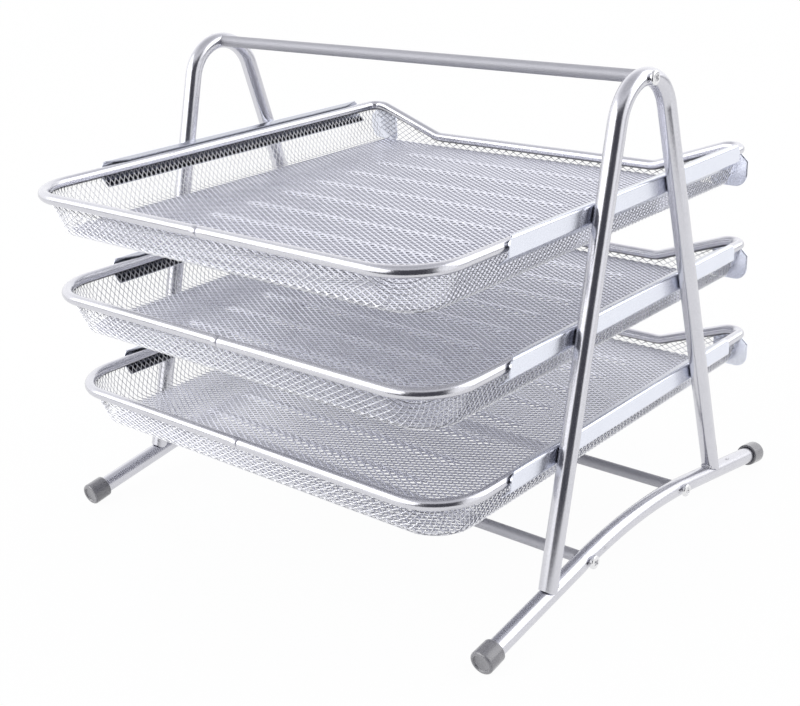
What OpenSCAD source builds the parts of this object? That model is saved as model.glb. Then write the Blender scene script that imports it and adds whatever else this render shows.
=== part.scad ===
// Three-tier desk organizer: two welded tube frames carry rails, and mesh trays slide in the rails.
// Left is -X and right is +X. Rear is -Y, the high closed edge of the trays.
// Front is +Y, the edge that dips for access and towards which the trays are drawn out.

/* [Side frames] */
// Distance between the hoops, centre to centre
frame_spacing = 318.5; // [290:0.5:350]
// Outside diameter of the hoop and foot tubes
tube_d = 10.5; // [9:0.5:12]
// Wall of the hoop and foot tubes
tube_wall = 1.2; // [0.8:0.1:2]
// Height of the hoops above the desk
overall_h = 285.5; // [275:0.5:310]
// Distance of a hoop's rear leg behind the middle of the foot tube that it stands on
rear_leg = 94; // [84:0.5:102]
// Distance of a hoop's front leg before the middle of the foot tube
front_leg = 91.5; // [84:0.5:102]
// Distance of a hoop's top behind the middle of the foot tube
apex_back = 7; // [0:0.5:12]
// Centre-line radius of the bend at the top of a hoop
hoop_bend_r = 26; // [20:1:34]
// Diameter that a tube loses where it is drawn round a bend
bend_draw = 0.1; // [0.05:0.05:0.3]

/* [Feet] */
// Length of a foot over its caps
foot_l = 310; // [290:1:340]
// Slope of the straight ends of a foot, in degrees
foot_slope = 9.3; // [7:0.1:11]
// Centre-line radius of the bow in the middle of a foot
foot_bow_r = 380; // [300:5:420]
// Outside diameter of an end cap
cap_d = 14; // [13:0.5:17]
// Length of an end cap
cap_l = 12.5; // [10:0.5:20]
// Thickness of an end cap's closed end
cap_end_t = 2.5; // [1.5:0.5:4]
// Rounding of an end cap's edges
cap_edge_r = 1.5; // [0.5:0.25:2]
// Depth of the worn flat under an end cap
cap_flat = 0.4; // [0.2:0.1:0.6]

/* [Cross bars] */
// Diameter of the handle bar and the tie bars
bar_d = 8; // [7:0.5:10]
// Distance of the rear tie bar behind the middle of the foot tubes
rear_tie = 57; // [42:1:60]
// Distance of the front tie bar before the middle of the foot tubes
front_tie = 47; // [42:1:60]
// Thread diameter of the screws
screw_d = 4; // [3:0.5:5]
// Diameter of a screw's pan head
screw_head_d = 7.6; // [7:0.2:9]
// Height of a screw's pan head
screw_head_h = 2.6; // [2:0.2:3.4]
// Depth to which a screw enters its bar
screw_bite = 12; // [8:1:20]

/* [Rails] */
// Length of a rail
rail_l = 237; // [200:1:260]
// Height of a rail's web
rail_h = 10; // [9.5:0.1:12]
// Width of a rail's top flange
rail_flange = 8; // [6:0.5:10]
// Sheet thickness of a rail
rail_t = 1; // [0.8:0.1:1.4]
// Height of the top rail's middle above the desk
top_rail_z = 216.5; // [205:0.5:225]
// Distance between tiers
tier_pitch = 62; // [52:0.5:66]
// Rounding of the upper corners of a rail's web
rail_corner_r = 6; // [3:0.5:8]
// Length of the slanting cut at each end of a rail's top flange
rail_lead = 18; // [8:1:30]

/* [Trays] */
// Depth of a tray from the rear edge of its rim to the front edge, centre to centre
tray_l = 312; // [280:1:330]
// Diameter of the rim tube
rim_d = 6.5; // [5.5:0.1:7]
// Wall of the rim tube
rim_wall = 0.8; // [0.5:0.1:1.2]
// Centre-line radius of the rim's rear corners
rim_rear_r = 32; // [26:1:45]
// Centre-line radius of the rim's front corners
rim_front_r = 7; // [6:0.5:12]
// Width of the low stretch of the front edge
lip_w = 170; // [120:2:200]
// Drop of the low stretch of the front edge below the rim
lip_drop = 18; // [14:0.5:19]
// Centre-line radius of the bends at the ends of the low stretch
lip_bend_r = 20; // [10:1:30]
// Depth of a basket below the rim's centre line
basket_depth = 24.5; // [23.5:0.5:30]
// Distance inside the rim's centre line at which a basket's walls meet the rim
wall_in = 2.4; // [2:0.1:2.6]
// Distance that a basket's walls lean in between rim and floor
wall_lean = 6.6; // [4:0.2:10]
// Radius of the fold between a basket's walls and its floor
fold_r = 6; // [3:0.5:8]
// Offset of the rim's butt seam from the middle of the rear edge
seam_x = 4; // [-20:1:20]

/* [Mesh] */
// Thickness of the expanded sheet
mesh_t = 1; // [0.6:0.1:1.4]
// Pitch of the diamonds along the tray's width
cell_long = 22; // [15:0.5:30]
// Pitch of the diamonds across it
cell_short = 8; // [7.5:0.5:16]
// Width of the strands between diamonds
strand_w = 1.4; // [1.2:0.1:3]
// Plain margin round each panel of mesh
mesh_margin = 0.8; // [0.8:0.1:3]
// Number of ribs pressed into a basket's floor
rib_count = 8; // [3:1:8]
// Distance between ribs
rib_pitch = 31; // [24:0.5:31]
// Distance of the last rib from the front edge
rib_front = 37; // [30:1:45]
// Length of a rib
rib_l = 174; // [120:2:220]
// Width of a rib
rib_w = 7.5; // [6:0.5:10]
// Height of a rib above the floor
rib_h = 1.2; // [0.6:0.2:2]

/* [Stop plates] */
// Thickness of a stop plate
plate_t = 1; // [0.8:0.1:1.5]
// Width of a stop plate
plate_w = 24; // [16:1:34]
// Rounding of a stop plate's lower outer corner
plate_corner_r = 8; // [4:0.5:12]

/* [Fits and pose] */
// Gap between a tray's rim and the rail on each side
rim_side_gap = 0.6; // [0.4:0.1:1.5]
// Gap between a tray's rim and the flange that carries it
rim_rest_gap = 0.3; // [0.2:0.1:0.6]
// Gap between a basket's wall and the edge of that flange
mesh_side_gap = 0.7; // [0.6:0.1:1.2]
// Gap left at welds and at screwed joints
weld_gap = 0.05; // [0.02:0.01:0.1]
// Radial clearance of caps on tubes and of screws in their holes
slip = 0.1; // [0.05:0.05:0.3]
// Width of the rim's butt seam and of the hairlines between folded panels
hairline = 0.1; // [0.05:0.05:0.2]
// Distance that each tray is drawn from its stops, top tier first
drawn = [14.5, 21.5, 29];

/* [Hidden] */
$fn = 48;
overrun = 1;
arc_steps = 6;
bend_lap = 0.5;

silver = [0.80, 0.81, 0.85];
silver_mesh = [0.74, 0.75, 0.80];
cap_grey = [0.52, 0.52, 0.54];
screw_steel = [0.86, 0.86, 0.88];

// Feet: the centre line is an arc with a straight, falling stretch at each end
hoop_x = frame_spacing / 2;
tube_r = tube_d / 2;
cap_r = cap_d / 2;
foot_end_y = foot_l / 2 - (cap_r - cap_edge_r) * sin(foot_slope) - cap_edge_r * (1 - cos(foot_slope));
foot_end_z = (cap_r - cap_edge_r) * cos(foot_slope) + cap_edge_r - cap_edge_r * sin(foot_slope) - cap_flat;
foot_bow_y = foot_bow_r * sin(foot_slope);
foot_bow_z = foot_end_z + foot_end_y * tan(foot_slope) - foot_bow_r / cos(foot_slope);
foot_straight = (foot_end_y - foot_bow_y) / cos(foot_slope);
tube_setback = cap_end_t + slip;

function foot_z(y) =
    abs(y) < foot_bow_y
        ? foot_bow_z + sqrt(foot_bow_r * foot_bow_r - y * y)
        : foot_end_z + (foot_end_y - abs(y)) * tan(foot_slope);

// Hoops: each leg is the tangent from its foot point to the arc at the top; end is -1 at the rear, 1 in front
apex_z = overall_h - (tube_d - bend_draw) / 2;
hoop_centre_z = apex_z - hoop_bend_r;
function leg_y(end) = end < 0 ? -rear_leg : front_leg;
function leg_run(end) = abs(leg_y(end) + apex_back);
function leg_rise(end) = hoop_centre_z - foot_z(leg_y(end));
function leg_reach(end) = norm([leg_run(end), leg_rise(end)]);
function leg_tilt(end) = atan(leg_run(end) / leg_rise(end)) - asin(hoop_bend_r / leg_reach(end));
function leg_l(end) = sqrt(leg_reach(end) * leg_reach(end) - hoop_bend_r * hoop_bend_r);
function tie_y(end) = end < 0 ? -rear_tie : front_tie;
function tie_z(end) = foot_z(tie_y(end));

// Rails and the trays that run in them
rim_r = rim_d / 2;
rail_x = hoop_x - tube_r - weld_gap;
rim_x = rail_x - rail_t - rim_side_gap - rim_r;
rim_drop = rail_h / 2 - rail_t - rim_rest_gap - rim_r;
function rail_z(tier) = top_rail_z - tier * tier_pitch;
function rim_z(tier) = rail_z(tier) - rim_drop;

// Baskets: walls lean in from the inner side of the rim and fold into the floor
seat_r = rim_r + weld_gap;
seat_z = -sqrt(rim_r * rim_r - wall_in * wall_in);
floor_mid = -basket_depth + mesh_t / 2;
wall_angle = atan(wall_lean / (seat_z - floor_mid));
fold_run = fold_r * tan((90 - wall_angle) / 2);
wall_flat = (seat_z - floor_mid) / cos(wall_angle) - fold_run;
floor_inset = wall_in + wall_lean + fold_run;
floor_x = rim_x - floor_inset - hairline;
floor_front = tray_l - mesh_t / 2 - hairline;
function wall_face(z) = (z - seat_z) * tan(wall_angle) - wall_in + mesh_t / 2 / cos(wall_angle);

// The lower flange of a rail reaches in under the rim, as far as the basket's wall allows
rail_ledge = rail_t + rim_side_gap + rim_r - wall_face(-rim_r - rim_rest_gap) - mesh_side_gap;

// Front edge: a bend down, a straight slope and a bend back on each side of the low stretch
lip_x = lip_w / 2;
dip_x = rim_x - rim_front_r;
dip_run = dip_x - lip_x;
lip_slope = 2 * atan(lip_drop / (dip_run + sqrt(dip_run * dip_run - lip_drop * (4 * lip_bend_r - lip_drop))));
lip_tangent = lip_bend_r * tan(lip_slope / 2);
slope_l = (dip_run - 2 * lip_tangent) / cos(lip_slope) - 2 * lip_tangent;
plate_y = tray_l + mesh_t / 2 + hairline;
function tray_y(tier) = rail_l / 2 + drawn[tier] - plate_y;

// The origin lies under the middle of the whole object
reach_rear = min([-foot_l / 2, for (i = [0:2]) tray_y(i) - rim_r]);
reach_front = max([foot_l / 2, for (i = [0:2]) tray_y(i) + tray_l + rim_r]);
origin_y = -(reach_rear + reach_front) / 2;

function arc(centre, r, from, to, steps = arc_steps) =
    [for (i = [0:steps]) centre + r * [cos(from + (to - from) * i / steps), sin(from + (to - from) * i / steps)]];

// Moves children from the middle of the foot tubes to the object's origin
module in_place() {
    translate([0, origin_y, 0]) children();
}

// Turns a drawing in X and Y to stand in Y and Z
module stand_in_yz() {
    rotate([90, 0, 90]) children();
}

// Puts children at the left and the right frame
module on_side(side) {
    translate([side * hoop_x, 0, 0]) children();
}

// Straight stretch of a foot, from its end towards the bow
module foot_end(d, short, long = 0) {
    translate([0, foot_end_y, foot_end_z])
        rotate([90 - foot_slope, 0, 0])
            translate([0, 0, short])
                cylinder(d = d, h = foot_straight - short + long);
}

module foot_sweep(d, short) {
    for (end = [0, 1]) mirror([0, end, 0]) foot_end(d, short, bend_lap);
    translate([0, 0, foot_bow_z])
        stand_in_yz()
            rotate([0, 0, 90 - foot_slope])
                rotate_extrude(angle = 2 * foot_slope)
                    translate([foot_bow_r, 0]) circle(d = d - bend_draw);
}

module hoop_leg(d, end) {
    translate([0, leg_y(end), foot_z(leg_y(end))])
        rotate([end * leg_tilt(end), 0, 0])
            cylinder(d = d, h = leg_l(end) + bend_lap);
}

module hoop_top(d) {
    translate([0, -apex_back, hoop_centre_z])
        stand_in_yz()
            rotate([0, 0, leg_tilt(1)])
                rotate_extrude(angle = 180 - leg_tilt(1) - leg_tilt(-1))
                    translate([hoop_bend_r, 0]) circle(d = d - bend_draw);
}

module hoop_sweep(d) {
    for (end = [-1, 1]) hoop_leg(d, end);
    hoop_top(d);
}

// Hole for a screw along X, through both walls of a tube
module screw_hole(y, z) {
    translate([0, y, z])
        rotate([0, 90, 0])
            cylinder(d = screw_d + 2 * slip, h = tube_d + 2 * overrun, center = true);
}

module hoop(side) {
    color(silver) in_place() on_side(side) difference() {
        hoop_sweep(tube_d);
        hoop_sweep(tube_d - 2 * tube_wall);
        for (end = [0, 1])
            mirror([0, end, 0]) foot_end(tube_d + 2 * weld_gap, 0, foot_bow_y);
        screw_hole(-apex_back, apex_z);
    }
}

module foot_tube(side) {
    color(silver) in_place() on_side(side) difference() {
        foot_sweep(tube_d, tube_setback);
        foot_sweep(tube_d - 2 * tube_wall, -overrun);
        for (end = [-1, 1]) screw_hole(tie_y(end), tie_z(end));
    }
}

// Sleeve with a closed end, drawn as a half section
module cap_section() {
    bore_r = tube_r + slip;
    polygon(concat(
        [[0, 0]],
        arc([cap_r - cap_edge_r, cap_edge_r], cap_edge_r, -90, 0),
        [[cap_r, cap_l - cap_edge_r / 3], [cap_r - cap_edge_r / 3, cap_l], [bore_r, cap_l]],
        [[bore_r, cap_end_t], [0, cap_end_t]]
    ));
}

module cap(side, end) {
    color(cap_grey) in_place() on_side(side) difference() {
        mirror([0, end < 0 ? 1 : 0, 0])
            translate([0, foot_end_y, foot_end_z])
                rotate([90 - foot_slope, 0, 0])
                    rotate_extrude() cap_section();
        translate([-cap_d, -foot_l, -cap_d]) cube([2 * cap_d, 2 * foot_l, cap_d]);
    }
}

// Round bar between the frames; the children are cut from both ends to seat it on the tubes
module cross_bar(y, z) {
    difference() {
        translate([-hoop_x, y, z]) rotate([0, 90, 0]) cylinder(d = bar_d, h = frame_spacing);
        for (side = [-1, 1]) {
            on_side(side) children();
            translate([side * (hoop_x - tube_r - screw_bite / 2), y, z])
                rotate([0, 90, 0])
                    cylinder(d = screw_d + 2 * slip, h = screw_bite + tube_d, center = true);
        }
    }
}

module handle_bar() {
    color(silver) in_place() cross_bar(-apex_back, apex_z) hoop_top(tube_d + 2 * weld_gap);
}

module tie_bar(end) {
    color(silver) in_place() cross_bar(tie_y(end), tie_z(end)) foot_sweep(tube_d + 2 * weld_gap, 0);
}

// Pan-head screw along X, with its head seated on the outside of a tube
module screw(side, y, z) {
    head_r = screw_head_d / 2;
    crown_r = screw_head_h * 0.6;
    translate([side * (hoop_x + tube_r + weld_gap), y, z])
        rotate([0, side * 90, 0])
            rotate_extrude()
                polygon(concat(
                    [[0, -tube_d - screw_bite], [screw_d / 2, -tube_d - screw_bite], [screw_d / 2, 0], [head_r, 0]],
                    arc([head_r - crown_r, screw_head_h - crown_r], crown_r, 0, 90),
                    [[0, screw_head_h]]
                ));
}

module handle_screws() {
    color(screw_steel) in_place() for (side = [-1, 1]) screw(side, -apex_back, apex_z);
}

module tie_screws() {
    color(screw_steel) in_place()
        for (side = [-1, 1]) for (end = [-1, 1]) screw(side, tie_y(end), tie_z(end));
}

// Folded channel, open inwards, drawn for the right-hand side with its web at x = 0
module rail_section() {
    half = rail_h / 2;
    outer_r = 1.6 * rail_t;
    inner_r = outer_r - rail_t;
    polygon(concat(
        [[-rail_ledge, -half]],
        arc([-outer_r, -half + outer_r], outer_r, -90, 0),
        arc([-outer_r, half - outer_r], outer_r, 0, 90),
        [[-rail_flange, half], [-rail_flange, half - rail_t]],
        arc([-outer_r, half - outer_r], inner_r, 90, 0),
        arc([-outer_r, -half + outer_r], inner_r, 0, -90),
        [[-rail_ledge, -half + rail_t]]
    ));
}

// What is cut from one end of a rail: the web's upper corner and a slant on the top flange
module rail_end_cut() {
    half = rail_h / 2;
    difference() {
        translate([-rail_flange - overrun, rail_l / 2 - rail_corner_r, half - rail_corner_r])
            cube([rail_flange + 2 * overrun, rail_corner_r + overrun, rail_corner_r + overrun]);
        translate([-rail_flange - 2 * overrun, rail_l / 2 - rail_corner_r, half - rail_corner_r])
            rotate([0, 90, 0]) cylinder(r = rail_corner_r, h = rail_flange + 4 * overrun);
    }
    translate([0, 0, half - rail_t - rim_rest_gap])
        linear_extrude(rail_t + 2 * rim_rest_gap)
            polygon([
                [-rail_flange - overrun, rail_l / 2 - rail_lead],
                [-rail_flange, rail_l / 2 - rail_lead],
                [-2 * rail_t, rail_l / 2],
                [-2 * rail_t, rail_l / 2 + overrun],
                [-rail_flange - overrun, rail_l / 2 + overrun]
            ]);
}

module rail(side, tier) {
    color(silver) in_place()
        mirror([side < 0 ? 1 : 0, 0, 0])
            translate([rail_x, 0, rail_z(tier)]) difference() {
                translate([0, rail_l / 2, 0])
                    rotate([90, 0, 0]) linear_extrude(rail_l) rail_section();
                for (end = [0, 1]) mirror([0, end, 0]) rail_end_cut();
            }
}

// Tray frame of reference: the rear edge's centre line is at y = 0, the rim's centre line at z = 0
module at_tray(tier) {
    in_place() translate([0, tray_y(tier), rim_z(tier)]) children();
}

// Bend of the rim in the plane of the front edge, from the angle at which it starts
module lip_bend(d, x, z, start) {
    translate([x, tray_l, z])
        rotate([90, 0, 0])
            rotate([0, 0, start])
                rotate_extrude(angle = lip_slope) translate([lip_bend_r, 0]) circle(d = d);
}

// Bends and straight stretches of the rim on the right-hand side
module rim_side(d) {
    bend_d = d - bend_draw;
    translate([rim_x - rim_rear_r, rim_rear_r, 0])
        rotate([0, 0, -90])
            rotate_extrude(angle = 90) translate([rim_rear_r, 0]) circle(d = bend_d);
    translate([rim_x, rim_rear_r - bend_lap, 0])
        rotate([-90, 0, 0]) cylinder(d = d, h = tray_l - rim_rear_r - rim_front_r + 2 * bend_lap);
    translate([dip_x, tray_l - rim_front_r, 0])
        rotate_extrude(angle = 90) translate([rim_front_r, 0]) circle(d = bend_d);
    translate([dip_x - bend_lap, tray_l, 0]) rotate([0, 90, 0]) cylinder(d = d, h = 2 * bend_lap);
    lip_bend(bend_d, dip_x, -lip_bend_r, 90);
    translate([dip_x - lip_tangent, tray_l, 0])
        rotate([0, -90 - lip_slope, 0])
            translate([0, 0, lip_tangent - bend_lap]) cylinder(d = d, h = slope_l + 2 * bend_lap);
    lip_bend(bend_d, lip_x, lip_bend_r - lip_drop, -90);
}

// Straight stretch of the rim along X, centred on x = 0
module rim_run(d, half, y, z) {
    translate([-half - bend_lap, y, z]) rotate([0, 90, 0]) cylinder(d = d, h = 2 * (half + bend_lap));
}

module rim_sweep(d) {
    rim_run(d, rim_x - rim_rear_r, 0, 0);
    rim_run(d, lip_x, tray_l, -lip_drop);
    for (side = [0, 1]) mirror([side, 0, 0]) rim_side(d);
}

module rim(tier) {
    color(silver) at_tray(tier) difference() {
        rim_sweep(rim_d);
        rim_sweep(rim_d - 2 * rim_wall);
        translate([seam_x, -rim_d, -rim_d]) cube([hairline, 2 * rim_d, 2 * rim_d]);
    }
}

// One opening of the mesh, its size less the strand round it
function diamond(at) = [
    at - [cell_long / 2 - strand_w, 0], at - [0, (cell_short - strand_w) / 2],
    at + [cell_long / 2 - strand_w, 0], at + [0, (cell_short - strand_w) / 2]
];

// Staggered places for openings over a field of the given size, centred on x = 0 and starting at y = 0
function lattice(width, height) =
    let (rows = floor(2 * height / cell_short) - 1, rise = (height - (rows + 1) * cell_short / 2) / 2)
    [for (row = [0:rows - 1])
        let (count = floor(width / cell_long) - row % 2)
        for (i = [0:count - 1])
            [(i - (count - 1) / 2) * cell_long, rise + (row + 1) * cell_short / 2]];

// Sheet with an outline and the openings that are placed in it
module mesh_panel(outline, places) {
    edge = len(outline);
    linear_extrude(mesh_t)
        polygon(
            concat(outline, [for (p = places) each diamond(p)]),
            concat(
                [[for (i = [0:edge - 1]) i]],
                [for (k = [0:len(places) - 1]) [for (j = [0:3]) edge + 4 * k + j]]
            )
        );
}

rib_strip = rib_w + 2 * mesh_margin;
floor_rear = floor_inset + hairline;
floor_corner_r = rim_rear_r - floor_rear;
function rib_y(i) = tray_l - rib_front - (rib_count - 1 - i) * rib_pitch;
function clear_of_corner(p) =
    let (dx = abs(p[0]) + cell_long / 2 - rim_x + rim_rear_r, dy = rim_rear_r - p[1] + cell_short / 4)
    dx < 0 || dy < 0 || norm([dx, dy]) < floor_corner_r - mesh_margin;

// Strip of mesh between two ribs; the first has the rounded rear corners
module floor_strip(i) {
    rear = i == 0 ? floor_rear : rib_y(i - 1) + rib_strip / 2 + hairline;
    front = i == rib_count ? floor_front : rib_y(i) - rib_strip / 2;
    corner_x = rim_x - rim_rear_r;
    rear_edge = i == 0
        ? concat(
            arc([-corner_x, rim_rear_r], floor_corner_r, 180, 270),
            arc([corner_x, rim_rear_r], floor_corner_r, 270, 360)
        )
        : [[-floor_x, rear], [floor_x, rear]];
    field = lattice(2 * (floor_x - mesh_margin), front - rear - 2 * mesh_margin);
    places = [for (p = field) p + [0, rear + mesh_margin]];
    mesh_panel(
        concat([[-floor_x, front]], rear_edge, [[floor_x, front]]),
        [for (p = places) if (clear_of_corner(p)) p]
    );
}

// Strip with a rib pressed along it and a row of narrower openings along the rib
module rib_panel() {
    half_l = cell_long / 2 - strand_w;
    half_w = rib_w / 2 - strand_w;
    difference() {
        union() {
            translate([-floor_x, hairline - rib_strip / 2, 0]) cube([2 * floor_x, rib_strip - hairline, mesh_t]);
            rib();
        }
        for (p = lattice(2 * (floor_x - mesh_margin), cell_short))
            translate([p[0], 0, -overrun])
                linear_extrude(mesh_t + rib_h + 2 * overrun)
                    polygon([[-half_l, 0], [0, -half_w], [half_l, 0], [0, half_w]]);
    }
}

// Floor of a basket: strips of mesh, and strips where the ribs are pressed
module basket_floor() {
    translate([0, 0, -basket_depth]) {
        for (i = [0:rib_count]) floor_strip(i);
        for (i = [0:rib_count - 1]) translate([0, rib_y(i), 0]) rib_panel();
    }
}

// Pressed rib: a low round-backed ridge with round ends
module rib() {
    half = (rib_l - rib_w) / 2;
    top_r = (rib_w * rib_w / 4 + rib_h * rib_h) / (2 * rib_h);
    translate([0, 0, mesh_t]) {
        intersection() {
            translate([-half, 0, rib_h - top_r]) rotate([0, 90, 0]) cylinder(r = top_r, h = 2 * half);
            translate([-half, -rib_w / 2, -mesh_t / 2]) cube([2 * half, rib_w, rib_h + mesh_t]);
        }
        for (end = [-1, 1]) translate([end * half, 0, 0]) intersection() {
            translate([0, 0, rib_h - top_r]) sphere(r = top_r);
            translate([0, 0, -mesh_t / 2]) cylinder(d = rib_w, h = rib_h + mesh_t);
        }
    }
}

fold_centre = [-floor_inset, floor_mid + fold_r];
fold_edge = fold_centre + fold_r * [cos(wall_angle), -sin(wall_angle)];
panel_h = wall_flat - mesh_t / 2 * tan(wall_angle);

// Wall as a section, with x measured outwards from the rim's centre line: a fold, and a flat coped to the rim
module wall_section() {
    half = mesh_t / 2 / cos(wall_angle);
    top = -seat_z * tan(wall_angle) - wall_in;
    difference() {
        polygon(concat(
            arc(fold_centre, fold_r + mesh_t / 2, -90, -wall_angle),
            [[top + half, 0], [top - half, 0]],
            arc(fold_centre, fold_r - mesh_t / 2, -wall_angle, -90)
        ));
        circle(r = seat_r);
    }
}

// Stands a drawing up as the leaning flat of a wall whose outer side faces +Y
module lean() {
    translate([0, fold_edge[0] + mesh_t / 2 * cos(wall_angle), fold_edge[1] - mesh_t / 2 * sin(wall_angle)])
        rotate([90 - wall_angle, 0, 0]) children();
}

// Opening through a leaning wall, at a height above its fold
module wall_opening(at) {
    lean() translate([0, mesh_margin, -2 * mesh_t]) linear_extrude(5 * mesh_t) polygon(diamond(at));
}

// Straight wall centred on x = 0 with its outer side facing +Y; its end at -X can pass under the rim's corner
module straight_wall(run, low_end = false) {
    difference() {
        stand_in_yz() translate([0, 0, -run / 2]) linear_extrude(run) wall_section();
        for (p = lattice(run - 2 * mesh_margin, panel_h - 2 * mesh_margin)) wall_opening(p);
        if (low_end)
            translate([-run / 2 - overrun, -rim_d, -seat_r]) cube([rim_front_r + overrun, 2 * rim_d, rim_d]);
    }
}

// Rounded rear corner of a basket, on the axis of the rim's bend
module corner_wall() {
    turns = max(1, floor((rim_rear_r - wall_lean) * PI / 2 / cell_long));
    difference() {
        rotate([0, 0, -90]) rotate_extrude(angle = 90) translate([rim_rear_r, 0]) wall_section();
        for (p = lattice(turns * cell_long, panel_h - 2 * mesh_margin))
            rotate([0, 0, -135 - p[0] / cell_long * 90 / turns])
                translate([0, rim_rear_r, 0]) wall_opening([0, p[1]]);
    }
}

// Underside of the front rim at a distance x from the tray's middle, less the gap at the weld
crest_r = lip_bend_r - seat_r;
trough_r = lip_bend_r + seat_r;
crest_end = [dip_x, -lip_bend_r] + crest_r * [-sin(lip_slope), cos(lip_slope)];
trough_end = [lip_x, lip_bend_r - lip_drop] + trough_r * [sin(lip_slope), -cos(lip_slope)];
function under_rim(x) =
    x > dip_x ? -seat_r
    : x > crest_end[0] ? sqrt(crest_r * crest_r - (dip_x - x) * (dip_x - x)) - lip_bend_r
    : x > trough_end[0] ? crest_end[1] - (crest_end[0] - x) * tan(lip_slope)
    : x > lip_x ? lip_bend_r - lip_drop - sqrt(trough_r * trough_r - (x - lip_x) * (x - lip_x))
    : -lip_drop - seat_r;

// Right half of the front wall's outline, from the floor's middle round to the lip's middle
front_half = concat(
    arc(fold_centre + [rim_x, 0], fold_r + mesh_t / 2, -90, -wall_angle),
    [[rim_x + wall_face(-seat_r), -seat_r]],
    arc([dip_x, -lip_bend_r], crest_r, 90, 90 + lip_slope),
    arc([lip_x, lip_bend_r - lip_drop], trough_r, lip_slope - 90, -90)
);

// Front wall: tall at the corners, and no more than an upturned edge under the lip
module front_wall() {
    count = len(front_half);
    outline = concat(front_half, [for (i = [1:count]) [-front_half[count - i][0], front_half[count - i][1]]]);
    low = mesh_margin + (cell_short - strand_w) / 2 - basket_depth;
    places = [
        for (side = [-1, 1])
            for (i = [0:ceil(rim_x / cell_long)])
                let (x = rim_x - floor_inset - (i + 0.5) * cell_long)
                if (low + cell_short / 2 + mesh_margin < under_rim(x - cell_long / 4)) [side * x, low]
    ];
    translate([0, tray_l + mesh_t / 2, 0]) rotate([90, 0, 0]) mesh_panel(outline, places);
}

// Basket pressed from expanded sheet; its panels meet at hairlines along the folds
module basket(tier) {
    corner_x = rim_x - rim_rear_r;
    side_rear = rim_rear_r + hairline;
    color(silver_mesh) at_tray(tier) {
        basket_floor();
        rotate([0, 0, 180]) straight_wall(2 * (corner_x - hairline));
        for (side = [0, 1]) mirror([side, 0, 0]) {
            translate([rim_x, (side_rear + floor_front) / 2, 0])
                rotate([0, 0, -90])
                    straight_wall(floor_front - side_rear, true);
            translate([corner_x, rim_rear_r, 0]) corner_wall();
        }
        front_wall();
    }
}

// Solid tab at a front corner of a tray, which meets the end of the rail; right-hand side
module stop_plate_outline() {
    outer = rim_x + rim_r;
    inner = outer - plate_w;
    notch = 0.35 * plate_corner_r;
    top_edge = [for (i = [0:arc_steps]) let (x = dip_x + (inner - dip_x) * i / arc_steps) [x, under_rim(x)]];
    difference() {
        polygon(concat(
            [[inner, -basket_depth]],
            arc([outer - plate_corner_r, plate_corner_r - basket_depth], plate_corner_r, -90, 0),
            [[outer, -seat_r]],
            top_edge
        ));
        translate([rim_x - notch, -seat_r - 2 * notch]) polygon([[0, notch], [notch, notch], [notch, 0]]);
    }
}

module stop_plate(side, tier) {
    color(silver) at_tray(tier)
        mirror([side < 0 ? 1 : 0, 0, 0])
            translate([0, plate_y + plate_t, 0])
                rotate([90, 0, 0]) linear_extrude(plate_t) stop_plate_outline();
}

hoop(-1);  // left_hoop
hoop(1);  // right_hoop
foot_tube(-1);  // left_foot_tube
foot_tube(1);  // right_foot_tube
cap(-1, -1);  // left_rear_cap
cap(-1, 1);  // left_front_cap
cap(1, -1);  // right_rear_cap
cap(1, 1);  // right_front_cap
handle_bar();
tie_bar(-1);  // rear_tie_bar
tie_bar(1);  // front_tie_bar
handle_screws();
tie_screws();
rail(-1, 0);  // left_top_rail
rail(1, 0);  // right_top_rail
rail(-1, 1);  // left_middle_rail
rail(1, 1);  // right_middle_rail
rail(-1, 2);  // left_bottom_rail
rail(1, 2);  // right_bottom_rail
rim(0);  // top_rim
basket(0);  // top_basket
stop_plate(-1, 0);  // top_left_stop_plate
stop_plate(1, 0);  // top_right_stop_plate
rim(1);  // middle_rim
basket(1);  // middle_basket
stop_plate(-1, 1);  // middle_left_stop_plate
stop_plate(1, 1);  // middle_right_stop_plate
rim(2);  // bottom_rim
basket(2);  // bottom_basket
stop_plate(-1, 2);  // bottom_left_stop_plate
stop_plate(1, 2);  // bottom_right_stop_plate
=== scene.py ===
"""Looks of the tiered desk organizer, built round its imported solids.

Two tube hoops on bowed feet carry rails, and three trays of expanded mesh slide in the rails. Sizes of the
object are in millimetres and become metres where a mesh is made; the studio is in metres. Left is -X, and
front is +Y, the edge of the trays that dips.
"""

import logging
import math
from collections.abc import Callable
from dataclasses import dataclass, field
from enum import Enum
from functools import cache, partialmethod
from typing import Any

import bpy
import numpy as np
from mathutils import Matrix, Vector

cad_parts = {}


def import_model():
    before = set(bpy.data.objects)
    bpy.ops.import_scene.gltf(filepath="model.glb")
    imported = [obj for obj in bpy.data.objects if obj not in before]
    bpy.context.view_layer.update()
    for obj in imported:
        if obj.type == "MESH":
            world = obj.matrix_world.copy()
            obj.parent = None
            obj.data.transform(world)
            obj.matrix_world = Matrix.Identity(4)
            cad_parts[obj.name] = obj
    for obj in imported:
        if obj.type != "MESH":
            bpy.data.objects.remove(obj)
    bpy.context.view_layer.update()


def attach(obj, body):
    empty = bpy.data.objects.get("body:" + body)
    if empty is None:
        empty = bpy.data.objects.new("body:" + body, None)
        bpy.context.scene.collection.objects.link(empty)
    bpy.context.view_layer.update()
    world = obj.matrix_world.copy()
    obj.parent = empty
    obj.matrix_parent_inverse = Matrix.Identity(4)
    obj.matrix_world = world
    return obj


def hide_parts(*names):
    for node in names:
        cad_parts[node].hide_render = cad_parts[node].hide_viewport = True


LOG = logging.getLogger("desk_organizer")
Array = np.ndarray
Triple = tuple[float, float, float]
Settings = dict[str, Any] | None
Inputs = dict[str | int, Any] | None
MM = 0.001
QUARTER = math.pi / 2
ALONG_X = np.array([1.0, 0.0, 0.0])
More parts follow.
